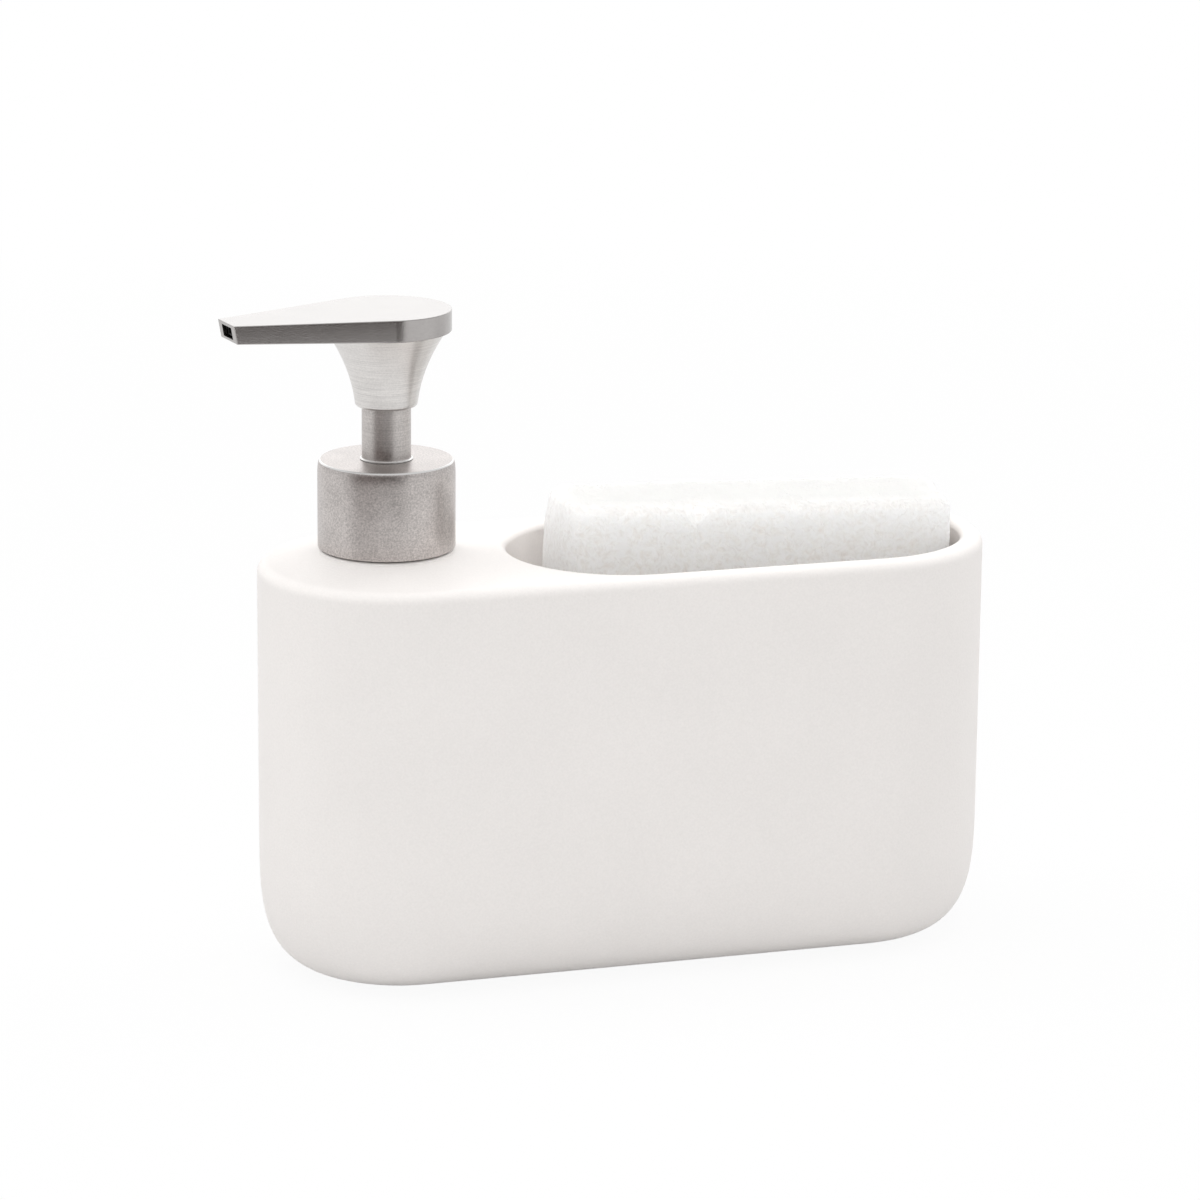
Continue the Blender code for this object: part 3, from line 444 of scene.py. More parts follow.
def ceramic():
    """Matt white ceramic: a fine dusty grain, faint clouds and a few tiny pits."""
    made = Finish("Matt white ceramic", IOR=1.45)
    here = made.place()
    clouds = made.grain(here, 35.0)
    dust = made.grain(here, 1900.0, 1.0, 0.6)
    pit = made.marks(here, 55.0, 0.90)
    tone = made.ramp(clouds * 0.35 + dust * 0.65, (0.32, 0.0), (0.68, 1.0))
    made.colour(made.shade(pit * 0.55, made.shade(tone, *CERAMIC), CERAMIC_PIT))
    made.roughness(0.52 + dust * 0.12)
    made.relief(dust * 0.8 + clouds * 0.6 - pit, 0.00006)
    return made.material


def turned_steel(name, colour, roughness, line_share, grain_share, contrast, highlight_band=None):
    """Satin stainless steel: fine lines round the pump's axis, a blasted grain, maybe a painted highlight
    band.
    """
    made = Finish(name, Metallic=1.0)
    here = made.place((PUMP_X, 0.0, 0.0))
    x, y, z = (made.part(here, axis) for axis in range(3))
    radius = (x * x + y * y) ** 0.5
    around = made.node("ShaderNodeCombineXYZ", {}, {0: x * 90.0, 1: y * 90.0, 2: (radius + z) * 7000.0})
    lines = made.grain(around, 1.0, 3.0, 0.6)
    speckle = made.grain(here, 2500.0, 2.0, 0.6)
    clouds = made.grain(here, 160.0)
    tone = lines * line_share + speckle * grain_share + clouds * (1.0 - line_share - grain_share)
    level = made.ramp(tone, (0.37, 0.0), (0.63, 1.0))
    steel = made.shade(level, scaled(colour, 1.0 - contrast), scaled(colour, 1.0 + contrast))
    steel = made.shade(made.marks(here, 150.0, 0.72) * 0.6, steel, scaled(colour, 0.3))
    # Painted highlight: a bright band of colour where the rounded edge catches the light
    if highlight_band:
        foot, top = (COVER_TOP + height for height in highlight_band)
        steel = made.shade((z > foot) * (z < top), steel, PAINTED_HIGHLIGHT_STEEL)
    made.colour(steel)
    made.roughness(roughness + tone * 0.14)
    made.relief(lines * line_share + speckle * grain_share, 0.000012)
    return made.material


def plate_steel():
    """Satin steel brushed along the plate towards the spout's tip."""
    made = Finish("Satin steel plate", Metallic=1.0)
    lines = made.grain(made.place((PUMP_X, 0.0, 0.0), (35.0, 5200.0, 5200.0), SPOUT_TURN), 1.0, 3.0, 0.6)
    here = made.place()
    speckle = made.grain(here, 2400.0, 2.0, 0.6)
    clouds = made.grain(here, 140.0)
    tone = lines * 0.45 + speckle * 0.30 + clouds * 0.25
    made.colour(made.shade(made.ramp(tone, (0.28, 0.0), (0.72, 1.0)), *PLATE_STEEL))
    side = made.part(here, 2) < span("head_plate")[1] - PLATE_SIDE_DROP
    made.roughness(0.14 + tone * 0.11 + side * 0.02)
    made.relief(lines * 0.6 + speckle * 0.4, 0.000012)
    return made.material


def moulded(name, colours, roughness):
    """Moulded plastic or rubber: an even colour with faint flow clouds and a fine moulded texture."""
    made = Finish(name)
    here = made.place()
    flow = made.grain(here, 70.0)
    fine = made.grain(here, 900.0, 2.0, 0.6)
    made.colour(made.shade(made.ramp(flow * 0.6 + fine * 0.4, (0.3, 0.0), (0.7, 1.0)), *colours))
    made.roughness(roughness + fine * 0.10)
    made.relief(fine, 0.00002)
    return made.material


def foam(name, colours, cell_scale, relief, top=None, **constants):
    """Open cells: fine curled walls with small pits between them, and maybe painted shade: a duller colour
    over the top few millimetres, where the lamps light the top most.
    """
    made = Finish(name, Roughness=0.95, **constants)
    here = made.place()
    curls = made.grain(here, cell_scale * 0.5, 2.0, 0.55, 2.2)
    fine = made.grain(here, cell_scale * 1.6, 2.0, 0.6)
    cells = made.node("ShaderNodeTexVoronoi", {}, {"Vector": here, "Scale": cell_scale * 0.7})
    walls = made.ramp(curls * 0.68 + fine * 0.12 + cells * 0.20, (0.30, 0.0), (0.58, 1.0))
    tone = made.shade(walls, *colours)
    # Painted shade: the top few millimetres fade to a duller colour, since the lamps light the top most
    if top:
        level = made.part(here, 2) + made.part(here, 0) * math.tan(SPONGE_TILT)
        painted_shade = (level - top + SPONGE_PAINTED_SHADE_DEPTH) * (1.0 / SPONGE_PAINTED_SHADE_DEPTH)
        tone = made.shade(made.ramp(painted_shade, (0.0, 0.0), (1.0, 1.0)), tone, SPONGE_PAINTED_SHADE)
    made.colour(tone)
    made.relief(walls, relief)
    return made.material


def only(piece):
    """Make one piece the selected and active one."""
    bpy.ops.object.select_all(action="DESELECT")
    piece.select_set(True)
    bpy.context.view_layer.objects.active = piece


def edit(piece):
    only(piece)
    bpy.ops.object.mode_set(mode="EDIT")


def leave_edit():
    bpy.ops.object.mode_set(mode="OBJECT")


def linked(name, data):
    """A new object in the scene."""
    made = bpy.data.objects.new(name, data)
    bpy.context.scene.collection.objects.link(made)
    return made


def added(name):
    """The piece that the last call added, with its name."""
    piece = bpy.context.active_object
    piece.name = name
    return piece


def plane(name, size, place, turn=(0.0, 0.0, 0.0)):
    bpy.ops.mesh.primitive_plane_add(size=size, location=place, rotation=turn)
    return added(name)


def block(name, place, size, turn=0.0):
    """A plain block, turned about its upright axis."""
    bpy.ops.mesh.primitive_cube_add(size=1.0, location=place, rotation=(0.0, 0.0, turn), scale=size)
    bpy.ops.object.transform_apply()
    return added(name)


def merge_all():
    """In edit mode, select everything and merge the corners that meet."""
    bpy.ops.mesh.select_all(action="SELECT")
    bpy.ops.mesh.remove_doubles(threshold=MERGE_DISTANCE)


def fill_openings():
    """In edit mode, close the open edges with faces."""
    bpy.ops.mesh.select_all(action="DESELECT")
    bpy.ops.mesh.select_mode(type="EDGE")
    bpy.ops.mesh.select_non_manifold(use_wire=False, use_multi_face=False, use_non_contiguous=False,
                                     use_verts=False)
    bpy.ops.mesh.fill()
    bpy.ops.mesh.select_mode(type="VERT")


def apply_modifier(piece, kind, **settings):
    """Add a modifier, set it and apply it."""
    only(piece)
    modifier = piece.modifiers.new(kind.title(), kind)
    for name, value in settings.items():
        setattr(modifier, name, value)
    bpy.ops.object.modifier_apply(modifier=modifier.name)


def cut(piece, tool, operation="DIFFERENCE"):
    """Cut a piece with a tool, or join the tool to it, and remove the tool."""
    apply_modifier(piece, "BOOLEAN", operation=operation, solver="EXACT", object=tool)
    bpy.data.objects.remove(tool)
    only(piece)
    bpy.ops.object.shade_smooth_by_angle(angle=SMOOTH_ANGLE)


def arc(centre, bend, start, end, steps=ROUND_STEPS):
    """Points of an arc, in degrees, of an outline."""
    angles = [math.radians(start + (end - start) * step / steps) for step in range(steps + 1)]
    return [(centre[0] + bend * math.cos(angle), centre[1] + bend * math.sin(angle)) for angle in angles]


def drawn(name, points):
    """A line of edges through points, extruded one after another from a single corner."""
    line = plane(name, MILLIMETRE, points[0])
    edit(line)
    bpy.ops.mesh.select_all(action="SELECT")
    bpy.ops.mesh.merge(type="CENTER")
    for before, after in zip(points, points[1:]):
        step = [b - a for a, b in zip(before, after)]
        bpy.ops.mesh.extrude_region_move(TRANSFORM_OT_translate={"value": step})
    bpy.ops.mesh.select_all(action="SELECT")
    return line


def finished(piece):
    """Merge, point the faces outwards, set the place in the mesh and shade smooth."""
    edit(piece)
    merge_all()
    bpy.ops.mesh.normals_make_consistent(inside=False)
    leave_edit()
    bpy.ops.object.transform_apply()
    bpy.ops.object.shade_smooth_by_angle(angle=SMOOTH_ANGLE)
    return piece


def turned(name, outline, steps=TURN_STEPS, closed=True):
    """A piece spun about the pump's axis from an outline of (radius, height) points."""
    if closed:
        outline = outline + outline[:1]
    piece = drawn(name, [(PUMP_X + radius, 0.0, height) for radius, height in outline])
    bpy.ops.mesh.spin(steps=steps, angle=2 * math.pi, center=(PUMP_X, 0.0, 0.0), axis=(0.0, 0.0, 1.0))
    leave_edit()
    return finished(piece)


def two_ended(name, outline, half_run, x=0.0):
    """A form with two round ends: an outline spun half a turn, drawn to the middle and mirrored."""
    end = x + half_run
    piece = drawn(name, [(end, -radius, height) for radius, height in outline])
    bpy.ops.mesh.spin(steps=BODY_STEPS, angle=math.pi, center=(end, 0.0, 0.0), axis=(0.0, 0.0, -1.0))
    merge_all()
    leave_edit()
    bpy.ops.object.transform_apply()
    edit(piece)
    select_verts(piece, lambda place: abs(place.x - end) < MERGE_DISTANCE)
    bpy.ops.mesh.extrude_region_move(TRANSFORM_OT_translate={"value": (-half_run, 0.0, 0.0)})
    leave_edit()
    guide = linked("mirror_plane", None)
    guide.location.x = x
    bpy.context.view_layer.update()
    apply_modifier(piece, "MIRROR", mirror_object=guide, merge_threshold=MERGE_DISTANCE)
    bpy.data.objects.remove(guide)
    return piece


def select_verts(piece, chosen):
    """In edit mode, select the corners whose place is chosen, with their edges and faces."""
    bpy.ops.mesh.select_all(action="DESELECT")
    bpy.ops.mesh.select_mode(type="VERT")
    shell = bmesh.from_edit_mesh(piece.data)
    for vert in shell.verts:
        vert.select = chosen(vert.co)
    shell.select_flush(True)
    bmesh.update_edit_mesh(piece.data)


def squared_corner(radius, level, inward, rise, squareness, steps):
    """A full corner that leaves a wall at a level, and runs inwards as it rises or falls."""
    power = 2 / squareness
    angles = [math.pi / 2 * step / steps for step in range(steps + 1)]
    return [(radius - inward + inward * math.cos(angle) ** power, level + rise * math.sin(angle) ** power)
            for angle in angles]


def base_curve(radius, floor, inward, upward):
    """The swelling lower edge, from the wall down to the flat base."""
    return squared_corner(radius, floor + upward, inward, -upward, BASE_SQUARENESS, BASE_STEPS)


def well_outline(grow):
    """The well's wall and floor from the deck down to its middle, grown on every side."""
    radius, floor, bend = WELL_RADIUS + grow, WELL_FLOOR - grow, WELL_FLOOR_ROUND + grow
    return arc((radius - bend, floor + bend), bend, 0, -90) + [(0.0, floor)]


def shoulder_outline():
    """The shoulder from its foot in the deck up to the middle of the pump's seat."""
    rise = SEAT_HEIGHT - SEAT_ROUND - BODY_HEIGHT
    points = []
    for step in range(SHOULDER_STEPS + 1):
        share = step / SHOULDER_STEPS
        points.append((SHOULDER_FOOT_RADIUS + (SEAT_RADIUS - SHOULDER_FOOT_RADIUS) * share,
                       BODY_HEIGHT + rise * share ** 2))
    rim = arc((SEAT_RADIUS - SEAT_ROUND, SEAT_HEIGHT - SEAT_ROUND), SEAT_ROUND, 0, 90)
    return points + rim[1:] + [(0.0, SEAT_HEIGHT)]


def pipe(name, outer, inner, node):
    """A plain pipe on the pump's axis, as high as its CAD node."""
    foot, top = span(node)
    return turned(name, [(outer, top), (outer, foot), (inner, foot), (inner, top)], SMALL_TURN_STEPS)


def bore(name, radius, foot, top, steps=SMALL_TURN_STEPS):
    """A plain cylinder on the pump's axis, to cut with."""
    return turned(name, [(0.0, top), (radius, top), (radius, foot), (0.0, foot)], steps, closed=False)


def ceramic_vessel():
    """The ceramic body in one casting: outer wall, deck, shoulder, well, chamber and mouth."""
    wall = arc((BODY_RADIUS - DECK_ROUND, BODY_HEIGHT - DECK_ROUND), DECK_ROUND, 90, 0)
    base = base_curve(BODY_RADIUS, 0.0, BASE_ROUND_INWARD, BASE_ROUND_UPWARD)
    body = two_ended("vessel_body", wall + base + [(0.0, 0.0)], BODY_HALF_RUN)
    lip = arc((WELL_RADIUS + WELL_LIP_ROUND, BODY_HEIGHT - WELL_LIP_ROUND), WELL_LIP_ROUND, 90, 180)
    well = two_ended("vessel_well", lip + well_outline(0.0), WELL_HALF_RUN, WELL_X)
    shoulder = turned("vessel_shoulder", shoulder_outline(), closed=False)
    only(body)
    well.select_set(True)
    shoulder.select_set(True)
    bpy.ops.object.join()
    edit(body)
    merge_all()
    fill_openings()
    leave_edit()
    finished(body)
    bend = CHAMBER_CORNER_ROUND
    ceiling = [(0.0, CHAMBER_TOP)] + arc((WELL_RADIUS - bend, CHAMBER_TOP - bend), bend, 90, 0)
    floor = base_curve(WELL_RADIUS, CHAMBER_FLOOR, CHAMBER_BASE_INWARD, BASE_ROUND_UPWARD - CHAMBER_FLOOR)
    chamber = finished(two_ended("chamber", ceiling + floor + [(0.0, CHAMBER_FLOOR)], BODY_HALF_RUN))
    wall = [(0.0, BODY_HEIGHT), (WELL_RADIUS + WELL_DIVIDER, BODY_HEIGHT)] + well_outline(WELL_DIVIDER)
    cut(chamber, finished(two_ended("well_wall", wall, WELL_HALF_RUN, WELL_X)))
    cut(body, chamber)
    foot, top = CHAMBER_TOP - CUT_OVERRUN, SEAT_HEIGHT + CUT_OVERRUN
    cut(body, bore("mouth", MOUTH_RADIUS, foot, top, TURN_STEPS))
    apply_modifier(body, "WEIGHTED_NORMAL", keep_sharp=True, weight=100)
    return body


def collar_cover():
    """The steel cover of the closure: a drum with a crisp rounded top edge and an open foot."""
    foot, top = span("collar_cover")
    edge = squared_corner(COVER_RADIUS, top - COVER_TOP_FALL, COVER_TOP_INWARD, COVER_TOP_FALL,
                          COVER_TOP_SQUARENESS, 2 * ROUND_STEPS)
    bend = COVER_FOOT_ROUND
    outline = [(COVER_HOLE, top)] + edge[::-1] + arc((COVER_RADIUS - bend, foot + bend), bend, 0, -90)
    outline += [(COVER_BORE, foot), (COVER_BORE, top - COVER_ROOF), (COVER_HOLE, top - COVER_ROOF)]
    return turned("closure_cover", outline)


def neck_sleeve():
    """The slim steel tube with its small flared foot on the collar."""
    foot, top = span("neck_sleeve")
    seat = COVER_TOP + SLEEVE_GAP
    rim = SLEEVE_RADIUS + SLEEVE_FLARE
    flare = arc((rim, seat + SLEEVE_FLARE + SLEEVE_RIM), SLEEVE_FLARE, 180, 270)
    wall = [(SLEEVE_RADIUS, seat), (SLEEVE_RADIUS, foot), (SLEEVE_BORE, foot), (SLEEVE_BORE, top)]
    return turned("steel_sleeve", [(SLEEVE_RADIUS, top)] + flare + [(rim, seat)] + wall)


def cone_radius(height):
    """The flared cone's outer radius at a height above its foot."""
    foot, top = span("head_cone")
    share = height / (top - foot)
    return CONE_FOOT_RADIUS + (CONE_TOP_RADIUS - CONE_FOOT_RADIUS) * (
        CONE_STRAIGHT_SHARE * share + (1 - CONE_STRAIGHT_SHARE) * share ** 2)


def head_cone():
    """The trumpet-shaped steel cone under the plate."""
    foot, top = span("head_cone")
    run = top - foot - CONE_FOOT_ROUND
    levels = [top - foot - run * step / CONE_STEPS for step in range(CONE_STEPS + 1)]
    outline = [(cone_radius(level), foot + level) for level in levels]
    edge = outline[-1][0]
    outline += arc((edge - CONE_FOOT_ROUND, foot + CONE_FOOT_ROUND), CONE_FOOT_ROUND, 0, -90)[1:]
    inside = [(max(CONE_BORE, cone_radius(level) - CONE_WALL), foot + level) for level in reversed(levels)]
    return turned("trumpet_cone", outline + [(CONE_BORE, foot)] + inside)


def spout_point(along, across, height=0.0):
    """A place in the scene from its place along and across the spout."""
    c, s = math.cos(SPOUT_TURN), math.sin(SPOUT_TURN)
    return (PUMP_X + along * c - across * s, along * s + across * c, height)


def spout_block(name, start, end, size, middle):
    """A block of a width and height that lies along the spout."""
    return block(name, spout_point((start + end) / 2, 0.0, middle), (end - start, *size), SPOUT_TURN)


def drop_outline():
    """The plate's outline: a round end and two straight sides that meet it smoothly."""
    half = SPOUT_WIDTH / 2
    distance = math.hypot(SPOUT_REACH, half)
    touch = math.atan2(half, SPOUT_REACH) + math.acos(PLATE_RADIUS / distance)
    sweep = 2 * (math.pi - touch)
    points = [(SPOUT_REACH, half)]
    for step in range(TURN_STEPS + 1):
        angle = touch + sweep * step / TURN_STEPS
        points.append((PLATE_RADIUS * math.cos(angle), PLATE_RADIUS * math.sin(angle)))
    return points + [(SPOUT_REACH, -half)]


def head_plate():
    """The drop-shaped steel plate with soft edges, its spout hole and its inlet."""
    foot, top = span("head_plate")
    outline = drop_outline()
    plate = drawn("push_plate", [spout_point(*point, foot) for point in outline + outline[:1]])
    merge_all()
    bpy.ops.mesh.edge_face_add()
    bpy.ops.mesh.extrude_region_move(TRANSFORM_OT_translate={"value": (0.0, 0.0, top - foot)})
    leave_edit()
    bpy.ops.object.transform_apply()
    edit(plate)
    tip = [Vector(spout_point(*outline[i])) for i in (0, -1)]
    touch = [Vector(spout_point(*outline[i])) for i in (1, -2)]

    def near(place, corners, level):
        flat = place - Vector((0.0, 0.0, level))
        return min((flat - corner).length for corner in corners) < MERGE_DISTANCE

    for level in (foot, top):
        select_verts(plate, lambda place: near(place, touch, level))
        bpy.ops.mesh.vert_connect_path()
    select_verts(plate, lambda place: near(place, tip, foot))
    back = Vector(spout_point(-PLATE_TIP_UNDERCUT, 0.0, PLATE_TIP_RISE)) - Vector((PUMP_X, 0.0, 0.0))
    bpy.ops.transform.translate(value=back)
    select_verts(plate, lambda place: near(place, tip, top))
    bpy.ops.transform.translate(value=(0.0, 0.0, -PLATE_TIP_DROP))
    bpy.ops.mesh.select_all(action="SELECT")
    bpy.ops.mesh.normals_make_consistent(inside=False)
    bpy.ops.mesh.select_all(action="DESELECT")
    bpy.ops.mesh.select_mode(type="EDGE")
    bpy.ops.mesh.edges_select_sharp(sharpness=SMOOTH_ANGLE)
    bpy.ops.mesh.bevel(offset=PLATE_EDGE_ROUND, segments=3, affect="EDGES")
    bpy.ops.mesh.select_mode(type="VERT")
    leave_edit()
    middle = (foot + PLATE_TIP_RISE + top - PLATE_TIP_DROP) / 2
    start, end = -SPOUT_BACK - SEAT_GAP, SPOUT_REACH + CUT_OVERRUN
    cut(plate, spout_block("spout_hole", start, end, SPOUT_HOLE, middle))
    cut(plate, bore("plate_inlet", STEM_BORE, foot - CUT_OVERRUN, middle))
    apply_modifier(plate, "WEIGHTED_NORMAL", keep_sharp=True, weight=100)
    return plate


def spout_tube():
    """The black tube inside the plate, a little back from the spout's end."""
    foot, top = span("spout_tube")
    middle = (foot + top) / 2
    end = SPOUT_REACH - PLATE_TIP_UNDERCUT - SPOUT_SETBACK
    tube = spout_block("spout_liner", -SPOUT_BACK, end, (SPOUT_TUBE_WIDTH, top - foot), middle)
    wall = (SPOUT_TUBE_WIDTH - SPOUT_DUCT[0]) / 2
    cut(tube, spout_block("spout_duct", wall - SPOUT_BACK, end + CUT_OVERRUN, SPOUT_DUCT, middle))
    cut(tube, bore("spout_inlet", SPOUT_INLET_RADIUS, foot - CUT_OVERRUN, middle))
    return tube


def thread(name, root, crest, start, turns):
    """A helical ridge on a wall, closed at both ends, with its root sunk in the wall."""
    outward = 1 if crest > root else -1
    sunk = root - outward * THREAD_EMBED
    half_root, half_crest = THREAD_ROOT_WIDTH / 2, THREAD_CREST_WIDTH / 2
    upper = [(sunk, half_root), (root, half_root), (crest, half_crest)]
    outline = upper + [(radius, -height) for radius, height in reversed(upper)] + upper[:1]
    ridge = drawn(name, [(PUMP_X + radius, 0.0, start + height) for radius, height in outline])
    merge_all()
    leave_edit()
    bpy.context.scene.cursor.location = (PUMP_X, 0.0, 0.0)
    bpy.ops.object.origin_set(type="ORIGIN_CURSOR")
    steps = round(SMALL_TURN_STEPS * turns)
    apply_modifier(ridge, "SCREW", angle=2 * math.pi * turns, steps=steps, render_steps=steps,
                   screw_offset=THREAD_PITCH * turns, use_merge_vertices=False)
    edit(ridge)
    fill_openings()
    leave_edit()
    return finished(ridge)


def neck_insert():
    """The plastic neck: a spigot in the ceramic mouth, a flange and a thread of one and a half turns."""
    foot, top = span("neck_insert")
    flange = SEAT_HEIGHT + SEAT_GAP
    flange_top = flange + NECK_FLANGE
    insert = turned("threaded_neck", [
        (NECK_RADIUS, top), (NECK_RADIUS, flange_top), (NECK_FLANGE_RADIUS, flange_top),
        (NECK_FLANGE_RADIUS, flange), (SPIGOT_RADIUS, flange), (SPIGOT_RADIUS, foot + SPIGOT_LEAD),
        (SPIGOT_RADIUS - SPIGOT_LEAD, foot), (NECK_BORE, foot), (NECK_BORE, top)])
    ridge = thread("neck_thread", NECK_RADIUS, THREAD_CREST, NECK_THREAD_START, NECK_THREAD_TURNS)
    cut(insert, ridge, "UNION")
    return insert


def neck_seal():
    """The ribbed silicone ring round the spigot."""
    foot, top = span("neck_seal")
    pitch = (top - foot) / SEAL_RIBS
    outline = [(SEAL_RADIUS + SEAL_RIB * out, top - pitch * rib - pitch * down)
               for rib in range(SEAL_RIBS) for down, out in SEAL_RIB_SHAPE]
    outline += [(SEAL_RADIUS, foot), (SEAL_BORE, foot), (SEAL_BORE, top)]
    return turned("ribbed_seal", outline)


def screw_cap():
    """The plastic cap inside the steel cover, with its inner thread."""
    foot, top = span("screw_cap")
    radius = COVER_BORE - SEAT_GAP
    cap = turned("inner_cap", [
        (COVER_HOLE, top), (radius, top), (radius, foot), (CAP_BORE, foot),
        (CAP_BORE, top - CAP_WEB), (COVER_HOLE, top - CAP_WEB)])
    start = NECK_THREAD_START - THREAD_PITCH / 2
    cut(cap, thread("cap_thread", CAP_BORE, CAP_THREAD_CREST, start, CAP_THREAD_TURNS), "UNION")
    return cap


def housing_gasket():
    """The foam ring under the housing's flange, its outer edge rounded."""
    foot, top = span("housing_gasket")
    bend = (top - foot) / 4
    middle = FLANGE_RADIUS - bend
    edge = arc((middle, top - bend), bend, 90, 0) + arc((middle, foot + bend), bend, 0, -90)
    return turned("foam_gasket", edge + [(GASKET_BORE, foot), (GASKET_BORE, top)], SMALL_TURN_STEPS)


def pump_housing():
    """The pump's cylinder: flange, barrel, tapered nose, ball cage and tube socket."""
    foot, top = span("pump_housing")
    flange = top - HOUSING_FLANGE
    ball_shelf = BALL_SEAT + BALL_CHAMBER_RADIUS - INLET_RADIUS
    housing = turned("pump_barrel", [
        (FLANGE_RADIUS, top), (FLANGE_RADIUS, flange), (HOUSING_RADIUS, flange),
        (HOUSING_RADIUS, RETAINER_FOOT), (TUBE_NOSE_RADIUS, HOUSING_TAPER_FOOT), (TUBE_NOSE_RADIUS, foot),
        (TUBE_SOCKET_RADIUS, foot), (TUBE_SOCKET_RADIUS, TUBE_SOCKET_TOP), (INLET_RADIUS, TUBE_SOCKET_TOP),
        (INLET_RADIUS, BALL_SEAT), (BALL_CHAMBER_RADIUS, ball_shelf), (BALL_CHAMBER_RADIUS, RETAINER_FOOT),
        (RETAINER_RADIUS, RETAINER_FOOT), (RETAINER_RADIUS, SPRING_SEAT), (HOUSING_BORE, SPRING_SEAT),
        (HOUSING_BORE, top)], SMALL_TURN_STEPS)
    middle = (PUMP_X, 0.0, (RETAINER_FOOT + SPRING_SEAT) / 2)
    height = SPRING_SEAT - RETAINER_FOOT + 2 * BYPASS_WIDTH
    cut(housing, block("bypass_along", middle, (2 * BALL_CHAMBER_RADIUS, BYPASS_WIDTH, height)))
    cut(housing, block("bypass_across", middle, (BYPASS_WIDTH, 2 * BALL_CHAMBER_RADIUS, height)))
    return housing


def stem_guide():
    """The plug in the housing's top with the upstand that carries the steel sleeve."""
    foot, top = span("stem_guide")
    flange_top = GUIDE_FLANGE_FOOT + GUIDE_FLANGE
    return turned("guide_plug", [
        (GUIDE_UPSTAND_RADIUS, top), (GUIDE_UPSTAND_RADIUS, flange_top), (FLANGE_RADIUS, flange_top),
        (FLANGE_RADIUS, GUIDE_FLANGE_FOOT), (GUIDE_PLUG_RADIUS, GUIDE_FLANGE_FOOT),
        (GUIDE_PLUG_RADIUS, foot), (GUIDE_BORE, foot), (GUIDE_BORE, top)], SMALL_TURN_STEPS)


def return_spring():
    """The coil spring, its end coils closed up, with its wire swept round and capped."""
    foot, top = span("return_spring")
    dead_rise = 2 * SPRING_DEAD_COILS * SPRING_DEAD_RISE
    live_coils = SPRING_COILS - 2 * SPRING_DEAD_COILS
    live_rise = (top - foot - 2 * SPRING_WIRE_RADIUS - dead_rise) / live_coils
    curve = bpy.data.curves.new("coil_spring", "CURVE")
    curve.dimensions = "3D"
    curve.bevel_depth = SPRING_WIRE_RADIUS
    curve.bevel_resolution = 3
    curve.use_fill_caps = True
    spline = curve.splines.new("POLY")
    spline.points.add(SPRING_COILS * COIL_POINTS)
    for step, point in enumerate(spline.points):
        turn = step / COIL_POINTS
        dead = min(turn, SPRING_DEAD_COILS) + max(0.0, turn - SPRING_DEAD_COILS - live_coils)
        level = foot + SPRING_WIRE_RADIUS + dead * SPRING_DEAD_RISE + (turn - dead) * live_rise
        angle = 2 * math.pi * turn
        point.co = (PUMP_X + SPRING_RADIUS * math.cos(angle), SPRING_RADIUS * math.sin(angle), level, 1.0)
    only(linked("coil_spring", curve))
    bpy.ops.object.convert(target="MESH")
    return finished(bpy.context.active_object)


def dip_tube():
    return pipe("suction_tube", TUBE_RADIUS, TUBE_BORE, "dip_tube")


def inlet_ball():
    """The steel ball of the inlet valve."""
    foot, top = span("inlet_ball")
    radius = (top - foot) / 2
    outline = arc((0.0, foot + radius), radius, 90, -90, SMALL_TURN_STEPS // 2)
    return turned("valve_ball", outline, SMALL_TURN_STEPS, closed=False)


def piston():
    """The sliding seal with its two lips and the waist between them."""
    foot, top = span("piston")
    return turned("sliding_seal", [
        (PISTON_RADIUS, top), (PISTON_RADIUS, top - PISTON_LIP), (PISTON_WAIST, top - 2 * PISTON_LIP),
        (PISTON_WAIST, foot + 2 * PISTON_LIP), (PISTON_RADIUS, foot + PISTON_LIP),
        (PISTON_RADIUS, foot), (PISTON_BORE, foot), (PISTON_BORE, top)], SMALL_TURN_STEPS)


def plunger_rod():
    """The rod whose flange the spring pushes, with a plug up in the stem and a pin in the spring."""
    foot, top = span("plunger_rod")
    return turned("spring_rod", [
        (0.0, top), (ROD_SHANK_RADIUS, top), (ROD_SHANK_RADIUS, ROD_FLANGE[1]),
        (ROD_FLANGE_RADIUS, ROD_FLANGE[1]), (ROD_FLANGE_RADIUS, ROD_FLANGE[0]),
        (ROD_PIN_RADIUS, ROD_FLANGE[0]), (ROD_PIN_RADIUS, foot), (0.0, foot)],
        SMALL_TURN_STEPS, closed=False)


def stem():
    """The hollow stem with its cross port."""
    made = pipe("hollow_stem", STEM_RADIUS, STEM_BORE, "stem")
    bpy.ops.mesh.primitive_cylinder_add(
        vertices=SMALL_TURN_STEPS // 2, radius=STEM_PORT_RADIUS, depth=4 * STEM_RADIUS,
        location=(PUMP_X, 0.0, STEM_PORT_HEIGHT), rotation=(math.pi / 2, 0.0, 0.0))
    bpy.ops.object.transform_apply()
    cut(made, added("stem_port"))
    return made


def actuator_core():
    """The plastic core in the cone's top that takes the stem's end."""
    foot, top = span("actuator_core")
    base = span("head_cone")[0]
    outline = []
    for step in range(ROUND_STEPS + 1):
        level = top - (top - foot) * step / ROUND_STEPS
        outline.append((max(CONE_BORE, cone_radius(level - base) - CONE_WALL) - CORE_GAP, level))
    roof = top - CORE_ROOF
    outline += [(CORE_SOCKET, foot), (CORE_SOCKET, roof), (STEM_BORE, roof), (STEM_BORE, top)]
    return turned("cone_core", outline, SMALL_TURN_STEPS)


def fade(distance, reach):
    """1 at no distance, falling evenly to 0 at the reach."""
    return max(0.0, 1.0 - distance / reach)


